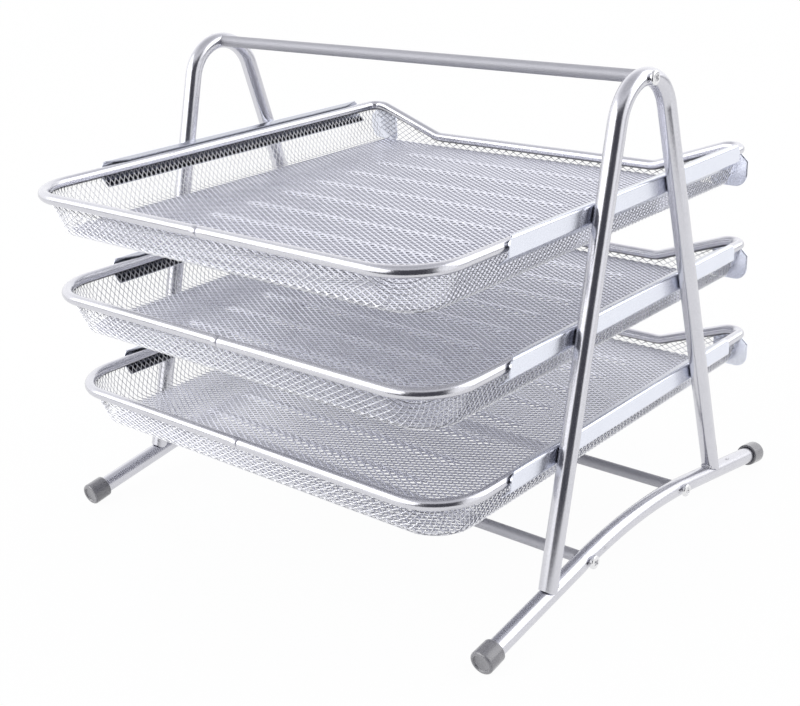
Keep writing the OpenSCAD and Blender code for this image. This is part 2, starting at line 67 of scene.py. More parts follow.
UPRIGHT = np.array([0.0, 0.0, 1.0])
# The middle of the feet, from which sizes along Y count, lies this far in front of the object's origin.
FEET_MIDDLE = np.array([0.0, 13.925, 0.0])
TIER_PITCH = 62.0
TUBE_SIDES = 56
# Angles in degrees past which an edge is drawn sharp; 0 draws every face flat.
FLAT, CREASED, ROUNDED = 0.0, 35.0, 40.0


class Slot(Enum):
    """Material slots of the record."""

    TUBE = "silver_tube"
    RAIL = "silver_rails"
    MESH = "silver_mesh"
    CAP = "grey_caps"
    SCREW = "bright_screws"


class Named(Enum):
    """Choice whose name stands in the names of nodes and pieces."""

    @property
    def word(self) -> str:
        """The name as it stands there."""
        return self.name.lower()


class Side(Named):
    """Side of the object, with the sign of its X."""

    LEFT = -1
    RIGHT = 1


class End(Named):
    """Rear and front, with the sign of their Y."""

    REAR = -1
    FRONT = 1


class Tier(Named):
    """Tiers from the top down."""

    TOP = 0
    MIDDLE = 1
    BOTTOM = 2


# Place of each tray's rear rim at rest, where the trays stand drawn out by 14.5, 21.5 and 29 mm.
TRAY_REAR_Y = {Tier.TOP: -179.6, Tier.MIDDLE: -172.6, Tier.BOTTOM: -165.1}


class Val:
    """A number on a shader socket; arithmetic on it adds Math nodes."""

    def __init__(self, shader: "Shader", socket: bpy.types.NodeSocket) -> None:
        """Keeps the socket and the shader that it belongs to."""
        self.shader = shader
        self.socket = socket

    def _math(self, operation: str, reflected: bool, other: Any) -> "Val":
        """Adds one Math node, in which the other number stands first if reflected."""
        first, second = (other, self) if reflected else (self, other)
        return self.shader.value("ShaderNodeMath", {"operation": operation}, {0: first, 1: second})

    __add__ = partialmethod(_math, "ADD", False)
    __radd__ = partialmethod(_math, "ADD", True)
    __sub__ = partialmethod(_math, "SUBTRACT", False)
    __rsub__ = partialmethod(_math, "SUBTRACT", True)
    __mul__ = partialmethod(_math, "MULTIPLY", False)
    __rmul__ = partialmethod(_math, "MULTIPLY", True)

    def between(self, low: float, high: float) -> "Val":
        """Eased step from 0 at low to 1 at high."""
        inputs = {"Value": self, "From Min": low, "From Max": high}
        return self.shader.value("ShaderNodeMapRange", {"interpolation_type": "SMOOTHSTEP"}, inputs)


class Shader:
    """Node tree of a finish or of the world."""

    def __init__(self, tree: bpy.types.NodeTree) -> None:
        """Empties the tree, to fill it anew."""
        self.tree = tree
        tree.nodes.clear()

    def node(self, kind: str, settings: Settings = None, inputs: Inputs = None) -> bpy.types.Node:
        """Adds a node.

        Args:
            kind: The node's type.
            settings: Its own settings, set first.
            inputs: Values or links of its sockets, by name or number.

        Returns:
            The node.
        """
        made = self.tree.nodes.new(kind)
        for key, setting in (settings or {}).items():
            setattr(made, key, setting)
        for key, given in (inputs or {}).items():
            source = given.socket if isinstance(given, Val) else given
            if isinstance(source, bpy.types.NodeSocket):
                self.tree.links.new(source, made.inputs[key])
            else:
                made.inputs[key].default_value = source
        return made

    def value(self, kind: str, settings: Settings, inputs: Inputs, output: str | int = 0) -> Val:
        """Adds a node and wraps one of its outputs as a number."""
        return Val(self, self.node(kind, settings, inputs).outputs[output])

    def spot(self) -> bpy.types.NodeSocket:
        """Place on the piece, in metres."""
        return self.node("ShaderNodeTexCoord").outputs["Object"]

    def noise(self, spot: bpy.types.NodeSocket, scale: float, detail: float = 2.0) -> Val:
        """Smooth noise from 0 to 1, with so many swells to the metre."""
        return self.value("ShaderNodeTexNoise", None, {"Vector": spot, "Scale": scale, "Detail": detail})

    def mixed(self, factor: Any, first: Any, second: Any) -> bpy.types.NodeSocket:
        """Colour between two colours."""
        first, second = ((*c, 1.0) if isinstance(c, tuple) else c for c in (first, second))
        return self.node("ShaderNodeMix", {"data_type": "RGBA"}, {0: factor, 6: first, 7: second}).outputs[2]

    def coat(self, inputs: dict, height: Val, strength: float, distance: float = 0.0002) -> None:
        """Closes a finish with one surface, its bump and the output.

        Args:
            inputs: Values or links of the surface's sockets.
            height: Pattern of the bump.
            strength: Strength of the bump.
            distance: Height of the bump in metres.
        """
        pattern = {"Strength": strength, "Distance": distance, "Height": height}
        bump = self.node("ShaderNodeBump", None, pattern)
        surface = self.node("ShaderNodeBsdfPrincipled", None, inputs | {"Normal": bump.outputs[0]})
        self.node("ShaderNodeOutputMaterial", None, {"Surface": surface.outputs[0]})


@cache
def finish_material(finish: Any) -> bpy.types.Material:
    """Material of a finish, made once for each finish.

    Args:
        finish: A finish with a name and a method that fills a shader.

    Returns:
        The material.
    """
    material = bpy.data.materials.new(finish.name)
    material.use_nodes = True
    finish.fill(Shader(material.node_tree))
    return material


@dataclass(frozen=True)
class SilverPowder:
    """Satin silver powder coat: pale flakes in a slightly rippled coat, with rubbed marks where scuffed.

    Where a mesh has the attribute "sunk", shade is painted into the coat: it darkens towards near black by
    the finish's share of painted shade. Scales are swells to the metre.
    """

    name: str
    pale: Triple
    deep: Triple
    metallic: float = 1.0
    roughness: float = 0.22
    ripple: float = 0.12
    scuffed: float = 0.0
    # Share of painted shade that the attribute sunk lays on the coat.
    painted_shade: float = 0.0
    flake_scale: float = 1700.0
    cloud_scale: float = 65.0
    peel_scale: float = 650.0
    mark_scale: float = 420.0
    mark_stretch: Triple = (1.0, 0.22, 1.0)
    patch_scale: float = 38.0
    worn_tint: Triple = (0.20, 0.20, 0.22)
    # Near-black colour of the painted shade.
    painted_shade_tint: Triple = (0.04, 0.04, 0.05)

    def fill(self, shader: Shader) -> None:
        """Colour and roughness follow flakes of 0.6 mm and clouds of 15 mm; the coat ripples at 1.5 mm.

        Args:
            shader: The empty shader.
        """
        spot = shader.spot()
        flakes = shader.noise(spot, self.flake_scale, 1.0)
        clouds = shader.noise(spot, self.cloud_scale, 3.0)
        peel = shader.noise(spot, self.peel_scale, 1.0)
        tint = shader.mixed(flakes.between(0.35, 0.7) * 0.5 + clouds * 0.5, self.deep, self.pale)
        rough = self.roughness + (clouds - 0.5) * 0.1 + (flakes - 0.5) * 0.08
        if self.scuffed:
            streak = shader.node("ShaderNodeMapping", None, {"Vector": spot, "Scale": self.mark_stretch})
            marks = shader.noise(streak.outputs[0], self.mark_scale).between(0.66, 0.74)
            patch = shader.noise(spot, self.patch_scale, 1.0).between(0.5, 0.62)
            worn = marks * patch * self.scuffed
            tint = shader.mixed(worn, tint, self.worn_tint)
            rough = rough + worn * 0.25
        # Painted shade: the attribute sunk darkens the colour in recesses, under the rims and inside the
        # rails.
        if self.painted_shade:
            sunk = shader.value("ShaderNodeAttribute", {"attribute_name": "sunk"}, None, "Fac")
            tint = shader.mixed(sunk * self.painted_shade, tint, self.painted_shade_tint)
        inputs = {"Base Color": tint, "Metallic": self.metallic, "Roughness": rough}
        shader.coat(inputs, peel + flakes * 0.4, self.ripple)


@dataclass(frozen=True)
class CapPlastic:
    """Moulded grey plastic with a fine spark-eroded grain and rubbed patches."""

    name: str
    grey: Triple
    rubbed: Triple
    grain_scale: float = 2100.0
    cloud_scale: float = 170.0

    def fill(self, shader: Shader) -> None:
        """Grain of 0.5 mm in the bump, and clouds of 6 mm between the two greys.

        Args:
            shader: The empty shader.
        """
        spot = shader.spot()
        clouds = shader.noise(spot, self.cloud_scale, 3.0)
        inputs = {
            "Base Color": shader.mixed(clouds.between(0.45, 0.75) * 0.7, self.grey, self.rubbed),
            "Roughness": 0.24 + clouds * 0.14,
            "Specular IOR Level": 0.9,
            "Coat Weight": 0.8,
            "Coat Roughness": 0.12,
        }
        shader.coat(inputs, shader.noise(spot, self.grain_scale), 0.12)


@dataclass(frozen=True)
class BrightPlate:
    """Bright plating with faint turning marks, for the screws."""

    name: str
    tone: Triple
    roughness: float = 0.16
    mark_scale: float = 2600.0

    def fill(self, shader: Shader) -> None:
        """Roughness and tone follow fine noise of 0.4 mm.

        Args:
            shader: The empty shader.
        """
        marks = shader.noise(shader.spot(), self.mark_scale)
        tint = shader.mixed(marks, tuple(0.8 * c for c in self.tone), self.tone)
        inputs = {"Base Color": tint, "Metallic": 1.0, "Roughness": self.roughness + marks * 0.12}
        shader.coat(inputs, marks, 0.1, 0.0001)


@dataclass(frozen=True)
class PaleFloor:
    """Pale floor that shows white to the camera and in mirrors, and keeps the object's shadow."""

    name: str = "pale_floor"
    to_camera: float = 0.965
    in_mirrors: float = 0.85
    cloud_scale: float = 3.0

    def fill(self, shader: Shader) -> None:
        """Mixes the floor's own surface with plain white by the kind of ray that meets it.

        Args:
            shader: The empty shader.
        """
        path = shader.node("ShaderNodeLightPath").outputs
        mirrored = Val(shader, path["Is Glossy Ray"]) + path["Is Transmission Ray"]
        seen = Val(shader, path["Is Camera Ray"]) * self.to_camera + mirrored * self.in_mirrors
        clouds = shader.noise(shader.spot(), self.cloud_scale)
        pale = shader.mixed(clouds, (0.86, 0.86, 0.87), (0.9, 0.9, 0.9))
        plain = shader.node("ShaderNodeBsdfPrincipled", None, {"Base Color": pale, "Roughness": 0.22})
        veil = shader.node("ShaderNodeEmission", None, {"Color": (1.0, 1.0, 1.0, 1.0), "Strength": 1.0})
        both = shader.node("ShaderNodeMixShader", None, {0: seen, 1: plain.outputs[0], 2: veil.outputs[0]})
        shader.node("ShaderNodeOutputMaterial", None, {"Surface": both.outputs[0]})


SATIN = ((0.735, 0.735, 0.775), (0.595, 0.595, 0.64))
FOLDED = ((0.88, 0.905, 0.985), (0.76, 0.785, 0.87))
PALEST = ((0.94, 0.945, 0.97), (0.82, 0.825, 0.86))
BLUISH = ((0.92, 0.928, 1.0), (0.78, 0.788, 0.875))
DULL = ((0.50, 0.50, 0.535), (0.42, 0.42, 0.455))
UNEVEN = ((0.74, 0.74, 0.77), (0.50, 0.50, 0.54))
TUBE_SILVER = SilverPowder("silver_powder_tube", *SATIN)
# Rim, rails and basket lay painted shade where the attribute sunk is set.
RIM_SILVER = SilverPowder("silver_powder_rim", *SATIN, painted_shade=0.92)
FOOT_SILVER = SilverPowder("silver_powder_foot", *SATIN, scuffed=0.6)
RAIL_SILVER = SilverPowder("silver_powder_rail", *FOLDED, roughness=0.24, painted_shade=0.9)
WALL_SILVER = SilverPowder("silver_powder_wall", *PALEST, roughness=0.28, painted_shade=0.6)
MESH_SILVER = SilverPowder("silver_powder_mesh", *BLUISH, roughness=0.28, painted_shade=0.78)
BAR_SILVER = SilverPowder("silver_powder_bar", *DULL, metallic=0.6, roughness=0.58)
WELD_SILVER = SilverPowder("silver_powder_weld", *UNEVEN, ripple=0.4)
CAP_GREY = CapPlastic("cap_plastic_grey", (0.19, 0.188, 0.205), (0.24, 0.238, 0.25))
SCREW_BRIGHT = BrightPlate("screw_plate_bright", (0.92, 0.92, 0.93))


def grid_quads(ids: Array, looped: bool = False) -> Array:
    """Quads between the rows of a grid of point numbers, whose columns run round, and rows too if looped."""
    lower, upper = (ids, np.roll(ids, -1, 0)) if looped else (ids[:-1], ids[1:])
    return np.stack([lower, np.roll(lower, -1, 1), np.roll(upper, -1, 1), upper], -1).reshape(-1, 4)


@dataclass
class Shell:
    """Points and faces of one piece, gathered patch by patch."""

    points: list[Array] = field(default_factory=list)
    faces: list[Array] = field(default_factory=list)
    sunk: list[Array] = field(default_factory=list)
    count: int = 0

    def add(self, points: Array, quads: Array, sunk: Array | None = None) -> "Shell":
        """Adds a closed patch, and turns it so that its faces point outwards.

        The sign comes from the volume: the sum over the faces of a corner's triple product with the two
        diagonals, which is positive where faces point outwards.

        Args:
            points: Points in millimetres, n by 3.
            quads: Faces, m by 4; a triangle repeats its last corner.
            sunk: Painted shade of each point: 0 in the open, 1 deep in a recess, more under a rim.

        Returns:
            This shell.
        """
        a, b, c, d = (points[quads[:, k]] for k in range(4))
        volume = np.einsum("ij,ij->i", a - points.mean(0), np.cross(c - a, d - b)).sum()
        self.points.append(points)
        self.sunk.append(np.zeros(len(points)) if sunk is None else sunk)
        self.faces.append((quads if volume >= 0 else quads[:, ::-1]) + self.count)
        self.count += len(points)
        return self

    def sheet(self, surface: Array, looped: bool = False, sunk: Array | None = None) -> "Shell":
        """Adds a surface on a grid whose second parameter runs round.

        The first parameter either loops, as along a ring, or ends at both sides in a fan to the mean of
        the last row, so that the patch is closed.

        Args:
            surface: Grid of points, n by m by 3.
            looped: Whether the first parameter loops too.
            sunk: Painted shade of each point.

        Returns:
            This shell.
        """
        rows, columns = surface.shape[:2]
        ids = np.arange(rows * columns).reshape(rows, columns)
        points, quads = [surface.reshape(-1, 3)], [grid_quads(ids, looped)]
        if not looped:
            points.append(np.stack([surface[0].mean(0), surface[-1].mean(0)]))
            fans = ((np.roll(ids[0], -1), ids[0]), (ids[-1], np.roll(ids[-1], -1)))
            for k, (one, two) in enumerate(fans):
                hub = np.full(columns, rows * columns + k)
                quads.append(np.stack([one, two, hub, hub], -1))
        return self.add(np.concatenate(points), np.concatenate(quads), sunk)

    def mesh(self, name: str, sharp: float) -> bpy.types.Mesh:
        """Makes the mesh, in metres and in the object's frame.

        Args:
            name: Name of the mesh.
            sharp: Angle in degrees past which an edge is drawn sharp; 0 draws every face flat.

        Returns:
            The mesh.
        """
        points = (np.concatenate(self.points) + FEET_MIDDLE) * MM
        quads = np.concatenate(self.faces)
        # A triangle repeats its last corner, or its first one where the patch was turned.
        turned = quads[:, 0] == quads[:, 1]
        three = turned | (quads[:, 2] == quads[:, 3])
        quads = np.where(turned[:, None], np.roll(quads, -1, 1), quads)
        sizes = np.where(three, 3, 4)
        corners = quads[np.arange(4)[None] < sizes[:, None]]
        mesh = bpy.data.meshes.new(name)
        for items, key, values, kind in (
            (mesh.vertices, "co", points, np.float32),
            (mesh.loops, "vertex_index", corners, np.int32),
            (mesh.polygons, "loop_start", np.cumsum(sizes) - sizes, np.int32),
        ):
            items.add(len(values))
            items.foreach_set(key, values.astype(kind).ravel())
        mesh.polygons.foreach_set("use_smooth", np.full(len(sizes), sharp > 0))
        mesh.update(calc_edges=True)
        sunk = np.concatenate(self.sunk)
        if sunk.any():
            mesh.attributes.new("sunk", "FLOAT", "POINT").data.foreach_set("value", sunk.astype(np.float32))
        if sharp > 0:
            mesh.set_sharp_from_angle(angle=math.radians(sharp))
        return mesh


def linked(name: str, data: Any) -> bpy.types.Object:
    """Puts some data into the scene as an object.

    Args:
        name: The object's name.
        data: Its mesh, lamp or camera.

    Returns:
        The object.
    """
    made = bpy.data.objects.new(name, data)
    bpy.context.scene.collection.objects.link(made)
    return made


def put(
    shell: Shell,
    name: str,
    body: str,
    finish: Any,
    nodes: tuple[str, ...] = (),
    sharp: float = CREASED,
) -> None:
    """Makes a piece of a shell, dresses it and lets it ride on its body.

    Args:
        shell: The piece's points and faces.
        name: The piece's name.
        body: The body that it moves with.
        finish: The finish that it wears.
        nodes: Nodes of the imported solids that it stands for.
        sharp: Angle in degrees past which an edge is drawn sharp.
    """
    mesh = shell.mesh(name, sharp)
    mesh.materials.append(finish_material(finish))
    piece = linked(name, mesh)
    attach(piece, body)
    if nodes:
        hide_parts(*nodes)
    LOG.info("%s: %d faces on %s", name, len(mesh.polygons), body)


def joined(*parts: Any) -> Array:
    """Points of their coordinates, each a number or an array."""
    return np.stack(np.broadcast_arrays(*parts), -1)


def circle(count: int) -> tuple[Array, Array]:
    """Cosines and sines of equal steps round a circle."""
    turn = np.linspace(0.0, 2 * math.pi, count, endpoint=False)
    return np.cos(turn), np.sin(turn)


def arc(middle: tuple[float, float], radius: float, start: float, end: float, count: int) -> Array:
    """Points on an arc in a plane, from one angle to another in radians."""
    turn = np.linspace(start, end, count)
    return joined(middle[0] + radius * np.cos(turn), middle[1] + radius * np.sin(turn))


def unit(vectors: Array) -> Array:
    """Vectors brought to unit length."""
    return vectors / np.linalg.norm(vectors, axis=-1, keepdims=True)


def eased(value: Array, low: float, high: float) -> Array:
    """Eased step from 0 at low to 1 at high: 3t^2 - 2t^3 of the share t."""
    share = np.clip((value - low) / (high - low), 0.0, 1.0)
    return share * share * (3.0 - 2.0 * share)


def carried(path: Array, across: Array, lift: Array, wide: Array, high: Array) -> Array:
    """Profile carried along a path: path + wide * across + high * lift.

    Args:
        path: Points of the path, n by 3.
        across: Unit vectors across the path, n by 3, or one for all.
        lift: Unit vectors square to path and across, n by 3.
        wide: Profile along across, m, or n by m.
        high: Profile along lift, m, or n by m.

    Returns:
        Grid of points, n by m by 3.
    """
    across = np.broadcast_to(across, path.shape)
    wide, high = (np.broadcast_to(v, (len(path), v.shape[-1])) for v in (wide, high))
    return path[:, None] + wide[..., None] * across[:, None] + high[..., None] * lift[:, None]


@dataclass
class SideFrame:
    """Hoop on a bowed foot tube with end caps, at one side of the object."""

    side: Side
    spacing: float = 318.5
    tube_r: float = 5.25
    height: float = 285.5
    rear_leg: float = 94.0
    front_leg: float = 91.5
    apex_back: float = 7.0
    apex_lift: float = 0.05
    bend_r: float = 26.0
    bend_flat: float = 0.05
    bend_wide: float = 0.015
    bend_inner: float = 0.4
    foot_l: float = 310.0
    slope: float = math.radians(9.3)
    bow_r: float = 380.0
    pull_l: float = 5.0
    pull_deep: float = 0.45
    cap_r: float = 7.0
    cap_l: float = 12.5
    cap_floor: float = 2.6
    cap_flat: float = 0.4
    edge_r: float = 1.5
    mouth_r: float = 0.7
    seam_gap: float = 0.8
    weld_r: float = 1.35
    weld_sector: float = 0.95
    weld_sunk: float = 0.4
    screw_y: tuple[float, float] = (-57.0, 47.0)

    def __post_init__(self) -> None:
        """Works out the foot's bow and the tangents from the legs to the bend, as the solids do."""
        sin, cos = math.sin(self.slope), math.cos(self.slope)
        inner = self.cap_r - self.edge_r
        self.x = self.side.value * self.spacing / 2
        self.end_y = self.foot_l / 2 - inner * sin - self.edge_r * (1 - cos)
        self.end_z = inner * cos + self.edge_r - self.edge_r * sin - self.cap_flat
        self.bow_y = self.bow_r * sin
        self.bow_z = self.end_z + self.end_y * math.tan(self.slope) - self.bow_r / cos
        self.apex_z = self.height - self.tube_r + self.apex_lift
        self.bend_z = self.apex_z - self.bend_r
        self.leg_foot = {End.REAR: -self.rear_leg, End.FRONT: self.front_leg}
        self.tilt: dict[End, float] = {}
        self.leg_l: dict[End, float] = {}
        for end, y in self.leg_foot.items():
            run, rise = abs(y + self.apex_back), self.bend_z - float(self.foot_z(y))
            reach = math.hypot(run, rise)
            self.tilt[end] = math.atan2(run, rise) - math.asin(self.bend_r / reach)
            self.leg_l[end] = math.sqrt(reach**2 - self.bend_r**2)

    def foot_z(self, y: Array | float) -> Array:
        """Height of the foot's centre line: a circle's arc in the middle, and a straight fall at each end.

        Args:
            y: Places along the foot.

        Returns:
            Heights.
        """
        bow = self.bow_z + np.sqrt(np.maximum(self.bow_r**2 - y * y, 0.0))
        fall = self.end_z + (self.end_y - np.abs(y)) * math.tan(self.slope)
        return np.where(np.abs(y) < self.bow_y, bow, fall)

    def leg_frame(self, end: End) -> tuple[Array, Array, Array]:
        """A leg's foot and its own directions.

        Args:
            end: Which leg.

        Returns:
            Its foot point, its direction upwards and the direction out of the hoop.
        """
        sin, cos = math.sin(self.tilt[end]), math.cos(self.tilt[end])
        y = self.leg_foot[end]
        base = np.array([self.x, y, float(self.foot_z(y))])
        return base, np.array([0.0, -end.value * sin, cos]), np.array([0.0, end.value * cos, sin])

    def coping(self, end: End, wide: Array, high: Array) -> Array:
        """How far up a leg its surface leaves the foot tube.

        The leg's line with offsets wide and high from its axis meets the foot's cylinder where the square
        of wide plus the square of its height over the foot's axis is the square of the foot's radius.

        Args:
            end: Which leg.
            wide: Offsets along X.
            high: Offsets out of the hoop.

        Returns:
            Distances along the leg.
        """
        _, up, out = self.leg_frame(end)
        square = np.array([0.0, end.value * math.sin(self.slope), math.cos(self.slope)])
        reach = np.sqrt(np.maximum((self.tube_r + self.seam_gap) ** 2 - wide**2, 0.0))
        return (reach - high * (out @ square)) / (up @ square)

    def hoop(self) -> None:
        """Hoop: a circle carried up one leg, round the bend and down the other leg.

        The legs' ends follow the foot's surface, and in the bend the circle is drawn flatter in the
        hoop's plane by up to 5 percent.
        """
        cos, sin = circle(TUBE_SIDES)
        wide, high = self.tube_r * cos, self.tube_r * sin
        share = np.linspace(0.0, 1.0, 30)[:, None]
        legs = {}
        for end in End:
            base, up, out = self.leg_frame(end)
            along = self.coping(end, wide, high) * (1 - share) + self.leg_l[end] * share
            legs[end] = base + along[..., None] * up + wide[:, None] * ALONG_X + high[:, None] * out
        share = np.linspace(0.0, 1.0, 49)[1:-1]
        turn = self.tilt[End.FRONT] * (1 - share) + (math.pi - self.tilt[End.REAR]) * share
        out = joined(0.0, np.cos(turn), np.sin(turn))
        path = self.bend_r * out + np.array([self.x, -self.apex_back, self.bend_z])
        drawn = np.sin(share * math.pi)[:, None] ** 1.5
        flatter = self.bend_flat * drawn
        bent_high = high * (1 - flatter) + flatter * self.tube_r * (high < 0) * self.bend_inner
        bend = carried(path, ALONG_X, out, wide * (1 + self.bend_wide * drawn), bent_high)
        shell = Shell().sheet(np.concatenate([legs[End.FRONT], bend, legs[End.REAR][::-1]]))
        word = self.side.word
        put(shell, f"{word}_hoop_tube", "frame", TUBE_SILVER, (f"{word}_hoop",))

    def foot(self) -> None:
        """Foot: a circle carried along the bow, pulled in by a bell on its outer side round each screw."""
        cos, sin = circle(TUBE_SIDES)
        reach = self.end_y - self.cap_floor * math.cos(self.slope)
        y = np.linspace(-reach, reach, 261)
        path = joined(self.x, y, self.foot_z(y))
        lift = np.cross(ALONG_X, unit(np.gradient(path, axis=0)))
        bells = sum(np.exp(-(((y - at) / self.pull_l) ** 2)) for at in self.screw_y)
        outer = np.clip(cos * self.side.value, 0.0, 1.0) ** 3
        wide = self.tube_r * cos - self.side.value * self.pull_deep * bells[:, None] * outer
        shell = Shell().sheet(carried(path, ALONG_X, lift, wide, self.tube_r * sin))
        word = self.side.word
        put(shell, f"{word}_foot_bow", "frame", FOOT_SILVER, (f"{word}_foot_tube",))

    def cap(self, end: End) -> None:
        """End cap: a half section turned about the foot's axis, with a dished end and a worn flat.

        The section's points are radius and depth from the tip: dish, rounded edge, sleeve and rounded mouth.
        The underside is cut level with the desk by taking heights below it up to it.

        Args:
            end: Which end of the foot.
        """
        profile = np.concatenate(
            [
                [[0.2, 1.25], [2.4, 1.2], [3.9, 1.1], [4.5, 0.9], [4.8, 0.3], [5.1, 0.08]],
                arc((self.cap_r - self.edge_r, self.edge_r), self.edge_r, -QUARTER, 0.0, 9),
                [[self.cap_r, 4.0], [self.cap_r - 0.03, 7.5], [self.cap_r - 0.12, self.cap_l - 1.2]],
                arc((self.cap_r - 0.82, self.cap_l - self.mouth_r), self.mouth_r, 0.0, QUARTER, 6),
                [[self.tube_r + 0.25, self.cap_l - 0.1], [self.tube_r - 0.1, self.cap_l - 0.6]],
            ]
        )
        cos, sin = circle(TUBE_SIDES)
        inwards = np.array([0.0, -end.value * math.cos(self.slope), math.sin(self.slope)])
        lift = np.array([0.0, end.value * math.sin(self.slope), math.cos(self.slope)])
        tip = np.array([self.x, end.value * self.end_y, self.end_z])
        radius, depth = profile[:, :1, None], profile[:, 1:, None]
        surface = tip + depth * inwards + radius * (cos[:, None] * ALONG_X + sin[:, None] * lift)
        surface[..., 2] = np.maximum(surface[..., 2], 0.0)
        name = f"{self.side.word}_{end.word}"
        put(Shell().sheet(surface), f"{name}_end_cap", "frame", CAP_GREY, (f"{name}_cap",), ROUNDED)

    def welds(self) -> None:
        """Weld bead at the inner foot of each leg.

        A bead is a small circle carried along the line where leg and foot meet, over a sector of the leg;
        its radius swells by a row of half waves and fades to nothing at both ends.
        """
        shell = Shell()
        cos, sin = circle(14)
        share = np.linspace(-1.0, 1.0, 61)
        turn = np.linspace(-QUARTER - self.weld_sector, -QUARTER + self.weld_sector, 61)
        wide, high = self.tube_r * np.cos(turn), self.tube_r * np.sin(turn)
        for end in (End.FRONT, End.REAR):
            base, up, out = self.leg_frame(end)
            along = self.coping(end, wide, high) - self.weld_sunk
            radial = np.cos(turn)[:, None] * ALONG_X + np.sin(turn)[:, None] * out
            path = base + along[:, None] * up + self.tube_r * radial
            lift = unit(np.cross(unit(np.gradient(path, axis=0)), radial))
            lumps = 0.72 + 0.22 * np.abs(np.sin(share * 11.0)) + 0.06 * np.sin(share * 29.0 + end.value)
            size = (self.weld_r * lumps * np.sqrt(np.maximum(1 - share**2, 0.003)))[:, None]
            shell.sheet(carried(path, radial, lift, size * cos, size * sin))
        put(shell, f"{self.side.word}_leg_welds", "frame", WELD_SILVER)

    def build(self) -> None:
        """Builds every piece of this side."""
        self.hoop()
        self.foot()
        for end in End:
            self.cap(end)
        self.welds()


@dataclass
class CrossBars:
    """Handle bar and tie bars between the two sides, with their pan-head screws."""

    frame: SideFrame
    bar_r: float = 3.5
    bar_gap: float = 0.05
    head_r: float = 4.0
    head_h: float = 1.5
    head_edge: float = 0.35
    head_gap: float = 0.9
    head_sides: int = 96
    recess_r: float = 2.1
    recess_w: float = 0.55
    recess_deep: float = 1.1
    shank_r: float = 2.0
    shank_l: float = 5.0

    def __post_init__(self) -> None:
        """Works out where the tubes' outside lies."""
        self.outside = self.frame.spacing / 2 + self.frame.tube_r

    def bar(self, name: str, node: str, y: float, z: float) -> None:
        """Round bar along X whose ends follow the tubes.

        An end lies where the square of its distance from the tube's axis is the square of the radius.

        Args:
            name: The piece's name.
            node: The node that it stands for.
            y: Place of its axis.
            z: Height of its axis.
        """
        cos, sin = circle(40)
        high = self.bar_r * sin
        reach = self.frame.spacing / 2 - np.sqrt((self.frame.tube_r + self.bar_gap) ** 2 - high**2)
        x = np.linspace(-1.0, 1.0, 41)[:, None] * reach
        shell = Shell().sheet(joined(x, y + self.bar_r * cos, z + high))
        put(shell, name, "frame", BAR_SILVER, (node,))

    def screw(self, side: Side, y: float, z: float, turned: float) -> Array:
        """Pan head with a cross recess, on the outside of a tube, and a short shank that runs into the tube.

        The height over the seat is a flat dome, h (1 - (r / R)^6)^(1/3), less the recess, which is deep
        where the point is within half a slot's width of either arm of the cross, and eases out at its end.

        Args:
            side: Which side of the object.
            y: Place of the screw's axis.
            z: Height of the screw's axis.
            turned: Angle of the cross.

        Returns:
            Grid of points.
        """
        cos, sin = circle(self.head_sides)
        turn = np.arctan2(sin, cos) + turned
        outer_face = np.linspace(2.75, self.head_r, 12)
        face = np.concatenate([[0.02], np.linspace(0.12, 2.6, 26), outer_face])[:, None]
        off_arm = np.minimum(np.abs(face * np.cos(turn)), np.abs(face * np.sin(turn)))
        along_arm = 1 - eased(face, self.recess_r - 0.5, self.recess_r)
        cross = (1 - eased(off_arm, self.recess_w, self.recess_w + 0.2)) * along_arm
        dome = self.head_h * np.maximum(1 - (face / self.head_r) ** 6, 0.0) ** (1 / 3)
        under = self.head_gap - self.head_edge
        shank = np.broadcast_to(np.array([under, under, -self.shank_l])[:, None], (3, self.head_sides))
        out = np.concatenate([self.head_gap + dome - self.recess_deep * cross, shank])
        radius = np.concatenate([face, np.array([self.head_r, self.shank_r, self.shank_r])[:, None]])
        return joined(side.value * (self.outside + out), y + radius * cos, z + radius * sin)

    def screws(self, name: str, node: str, places: list[tuple[float, float]]) -> None:
        """All screws of a node as one piece, each with its cross turned another way.

        Args:
            name: The piece's name.
            node: The node that the piece stands for.
            places: Y and Z of the screws' axes.
        """
        shell = Shell()
        for side in Side:
            for k, (y, z) in enumerate(places):
                shell.sheet(self.screw(side, y, z, 0.4 + 0.9 * k + 0.3 * side.value))
        put(shell, name, "frame", SCREW_BRIGHT, (node,), ROUNDED)

    def build(self) -> None:
        """Builds the three bars and their screws."""
        apex = (-self.frame.apex_back, self.frame.apex_z)
        ties = [(y, float(self.frame.foot_z(y))) for y in self.frame.screw_y]
        self.bar("handle_grip_bar", "handle_bar", *apex)
        for end, tie in zip(End, ties):
            self.bar(f"{end.word}_tie_rod", f"{end.word}_tie_bar", *tie)
        self.screws("handle_pan_screws", "handle_screws", [apex])
        self.screws("tie_pan_screws", "tie_screws", ties)


